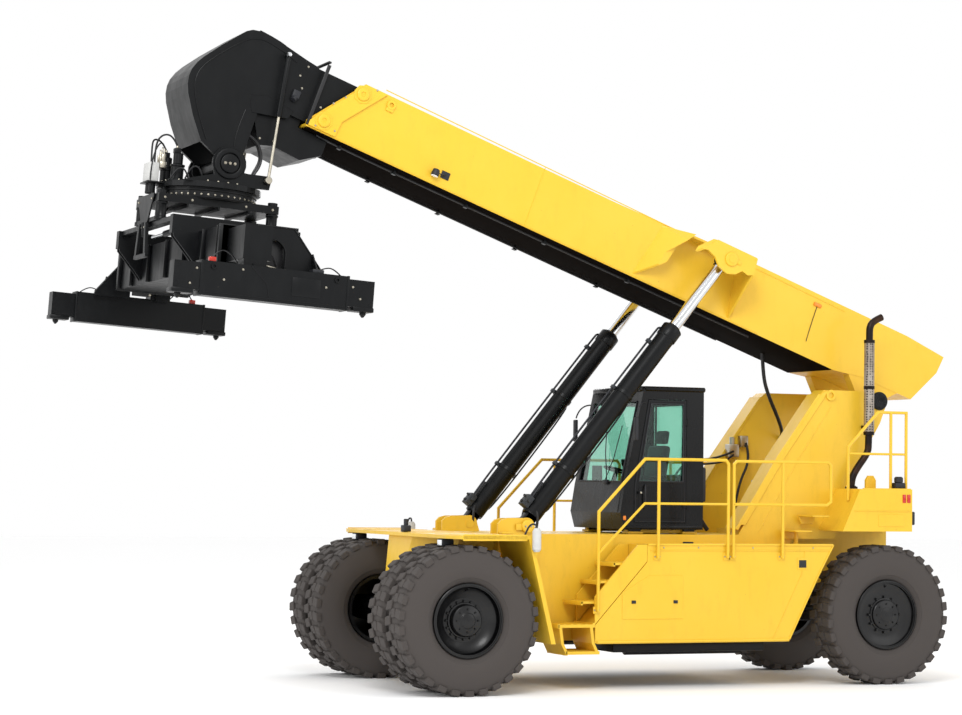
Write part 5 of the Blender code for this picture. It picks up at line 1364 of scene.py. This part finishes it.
    def tail(self) -> None:
        """Add the counterweight's grooves, lamp, reflector and rear grille."""
        y, top = self.side, self.weight_top
        trim = [block((-6.60, y - 0.004, 2.30), (-5.72, y + 0.008, 2.312), 0.003), hose([(-5.86, y - 0.01, top), (-6.60, y - 0.01, top)], 0.012, 2, False),
                plate([(-6.10, 2.10), (-6.10, 2.26), (-6.50, 2.26), (-6.50, 2.10)], y - 0.003, y + 0.006, Axis.Y, 0.004)]
        add_piece("counterweight_trim", both_sides(*trim), BODY_YELLOW, "chassis")
        lamps = [block((-6.56, y - 0.18, top + 0.001), (-6.40, y - 0.06, top + 0.09), 0.02), rod((-6.48, y - 0.12, top + 0.08), (-6.48, y - 0.12, top + 0.17), 0.060, 24, 0.02),
                 block((-6.81, 1.22, 2.12), (-6.74, 1.355, 2.30), 0.015)]
        add_piece("tail_lamps", both_sides(*lamps), TRIM_PLASTIC, "chassis")
        add_piece("tail_reflectors", both_sides(block((-6.59, y - 0.004, 2.42), (-6.54, y + 0.010, 2.53), 0.005), block((-6.52, y - 0.004, 2.42), (-6.47, y + 0.010, 2.53), 0.005)), RED_LENS, "chassis")
        slats = [block((-6.958, -0.80, 2.12 + 0.06 * i), (-6.945, 0.80, 2.145 + 0.06 * i), 0.004) for i in range(6)]
        add_piece("tail_grille", slats, TRIM_PLASTIC, "chassis")

    def exhaust(self) -> None:
        """Add the exhaust: bent pipe, slash-cut elbow, perforated guard and clamps."""
        y = 1.12
        pipe = hose([(-5.95, y, 2.604), (-5.95, y, 2.72), (-6.02, y, 2.86), (-6.20, y, 3.08), (-6.22, y, 3.20), (-6.22, y, 4.70), (-6.225, y, 4.80), (-6.28, y, 4.88), (-6.41, y, 4.935)], 0.048, 6)
        flange = [rod((-5.95, y, 2.602), (-5.95, y, 2.63), 0.085, 32), *round_about(bolt((-5.885, y, 2.63), Axis.Z, 0.008, 0.012), 4, Axis.Z, (-5.95, y, 0)),
                  block((-6.245, 0.952, 3.42), (-6.195, y - 0.05, 3.46), 0.004)]
        collar = [turned([(0.050, z), (0.074, z), (0.074, z + 0.045), (0.050, z + 0.045)], Axis.Z, (-6.22, y, 0), 36, 0.003) for z in (3.33, 3.95, 4.575)]
        add_piece("exhaust_pipe", [pipe, *flange, *collar], EXHAUST_STEEL, "chassis", stands_for=["exhaust_stack"])
        guard = turned([(0.060, 3.35), (0.070, 3.35), (0.070, 4.60), (0.060, 4.60)], Axis.Z, (-6.22, y, 0), 48)
        add_piece("exhaust_guard", [guard], GUARD_SHEET, "chassis")

    def running_gear(self) -> None:
        """Add axle hoses, brake cans, the drive shaft and steering links."""
        z = AXLE_HEIGHT
        shaft = [rod((-0.50, 0, z + 0.02), (-1.6, 0, z + 0.10), 0.06, 28), rod((-1.6, 0, z + 0.10), (-1.7, 0, z + 0.105), 0.10, 28, 0.01)]
        cans = [rod((-0.25, y, z + 0.24), (-0.05, y, z + 0.24), 0.09, 28, 0.012) for y in (-0.62, 0.62)]
        add_piece("drive_shaft", shaft + cans, FRAME_BLACK, "chassis")
        steer = [rod((-6.06, -0.42, z + 0.02), (-6.06, 0.42, z + 0.02), 0.06, 28, 0.006)]
        add_piece("steer_cylinder", steer, FRAME_BLACK, "chassis")
        add_piece("steer_cylinder_rod", [rod((-6.06, -0.62, z + 0.02), (-6.06, 0.62, z + 0.02), 0.03, 24)], CHROME, "chassis")
        lines = [hose([(-0.10, y, z + 0.30), (-0.3, y * 0.9, z + 0.44), (-0.6, y * 0.8, z + 0.42)], 0.013, 2) for y in (-0.62, 0.62)]
        add_piece("axle_hoses", lines, HOSE_RUBBER, "chassis")

    def build(self) -> None:
        """Add the chassis detail."""
        for add in (self.deck, self.tanks, self.steps, self.towers, self.tail, self.exhaust, self.running_gear):
            add()


ASSEMBLIES: Tuple[Any, ...] = (Wheels(), LiftCylinder("left", 1), LiftCylinder("right", -1), BoomTrim(),
                               HeadGear(), SlewGear(), SpreaderGear(), Cab(), ChassisTrim())


# ---------------------------------------------------------------- CAD nodes, studio and the run

CAD_FINISHES: Dict[str, Finish] = {
    "painted_yellow": BODY_YELLOW, "painted_black": FRAME_BLACK, "tyre_rubber": TYRE_RUBBER,
    "rim_black": RIM_BLACK, "chromed_rod": CHROME, "tinted_glass": CAB_GLASS, "guard_steel": EXHAUST_STEEL,
    "seat_fabric": SEAT_CLOTH, "cast_iron": ENGINE_GREY,
}
NODE_FINISHES: Dict[str, Finish] = {
    "boom_outer": BOOM_YELLOW, "cab_shell": CAB_BLACK, "cab_door": CAB_BLACK, "boom_pads": HOSE_RUBBER,
}


def finish_cad_nodes() -> None:
    """Give every CAD node the finish of its record slot, or its own where it has one."""
    slots = {name: entry["slot"] for entry in frame["record"]["materials"] for name in entry.get("nodes", [])}
    for name, obj in frame["nodes"].items():
        slot = slots.get(name) or (obj.data.materials[0].name.split(".")[0] if obj.data.materials else "")
        finish = NODE_FINISHES.get(name) or CAD_FINISHES.get(slot, FRAME_BLACK)
        obj.data.materials.clear()
        obj.data.materials.append(finish.material())
        LOG.info("CAD node %-24s %s", name, finish.name)


@dataclass(frozen=True)
class Studio:
    """A pale floor, soft studio light and the main camera."""

    place: Point = (14.0986, 31.5564, 2.6407)
    yaw: float = -1.96862
    pitch: float = 0.0474635
    roll: float = 0.0127872
    lens: float = 97.30

    def floor(self) -> None:
        """Add the floor."""
        deselect()
        bpy.ops.mesh.primitive_plane_add(size=160, location=(0, 0, 0))
        ground = bpy.context.object
        ground.name = "studio_floor"
        paint = bpy.data.materials.new("studio_floor")
        paint.use_nodes = True
        paint.node_tree.nodes["Principled BSDF"].inputs["Base Color"].default_value = (0.985, 0.985, 0.985, 1)
        paint.node_tree.nodes["Principled BSDF"].inputs["Roughness"].default_value = 0.9
        ground.data.materials.append(paint)

    def lamp(self, name: str, place: Point, size: float, power: float, aim: Point = (0, 0, 3)) -> None:
        """Add an area lamp aimed at a point."""
        deselect()
        turn = (Vector(aim) - Vector(place)).to_track_quat("-Z", "Y").to_euler()
        bpy.ops.object.light_add(type="AREA", location=place, rotation=turn)
        light = bpy.context.object
        light.name = name
        light.data.shape = "DISK"
        light.data.size = size
        light.data.energy = power

    def camera(self) -> None:
        """Add the main camera."""
        c, s = math.cos(self.pitch), math.sin(self.pitch)
        look = Vector((math.cos(self.yaw) * c, math.sin(self.yaw) * c, s))
        side = look.cross(Vector((0, 0, 1))).normalized()
        top = side.cross(look)
        cr, sr = math.cos(self.roll), math.sin(self.roll)
        right, up = side * cr + top * sr, top * cr - side * sr
        turn = Matrix((right, up, -look)).transposed().to_4x4()
        deselect()
        bpy.ops.object.camera_add()
        camera = bpy.context.object
        camera.matrix_world = Matrix.Translation(self.place) @ turn
        camera.data.lens = self.lens
        camera.data.sensor_width = 36
        camera.data.clip_end = 400
        bpy.context.scene.camera = camera

    def world(self) -> None:
        """Light the scene softly; camera, glossy and transmitted rays see plain white."""
        world = bpy.data.worlds.new("studio")
        bpy.context.scene.world = world
        world.use_nodes = True
        tree = world.node_tree
        path = add_node(tree, "ShaderNodeLightPath")
        seen = add_node(tree, "ShaderNodeMath", {"operation": "MAXIMUM"}, in_0=path.outputs["Is Camera Ray"],
                        in_1=path.outputs["Is Transmission Ray"])
        sky = tree.nodes["Background"]
        sky.inputs["Color"].default_value = (1.0, 1.0, 1.0, 1)
        sky.inputs["Strength"].default_value = 1.0
        white = add_node(tree, "ShaderNodeBackground", Color=(1, 1, 1, 1), Strength=1.0)
        mix = add_node(tree, "ShaderNodeMixShader", in_0=seen.outputs[0], in_1=sky.outputs[0],
                       in_2=white.outputs[0])
        tree.links.new(mix.outputs[0], tree.nodes["World Output"].inputs["Surface"])
        bpy.context.scene.view_settings.view_transform = "Standard"

    def build(self) -> None:
        """Add the whole studio."""
        self.floor()
        self.lamp("key", (9, 17, 17), 9, 2500)
        self.lamp("fill", (-13, 15, 9), 12, 420)
        self.lamp("front", (21, 3, 8), 9, 650)
        self.lamp("back", (-6, -16, 12), 10, 600)
        self.camera()
        self.world()


def main() -> None:
    """Build the finishes, the pieces and the studio."""
    logging.basicConfig(level=logging.INFO, format="%(message)s")
    finish_cad_nodes()
    for assembly in ASSEMBLIES:
        assembly.build()
    Studio().build()


if __name__ == "__main__":
    main()
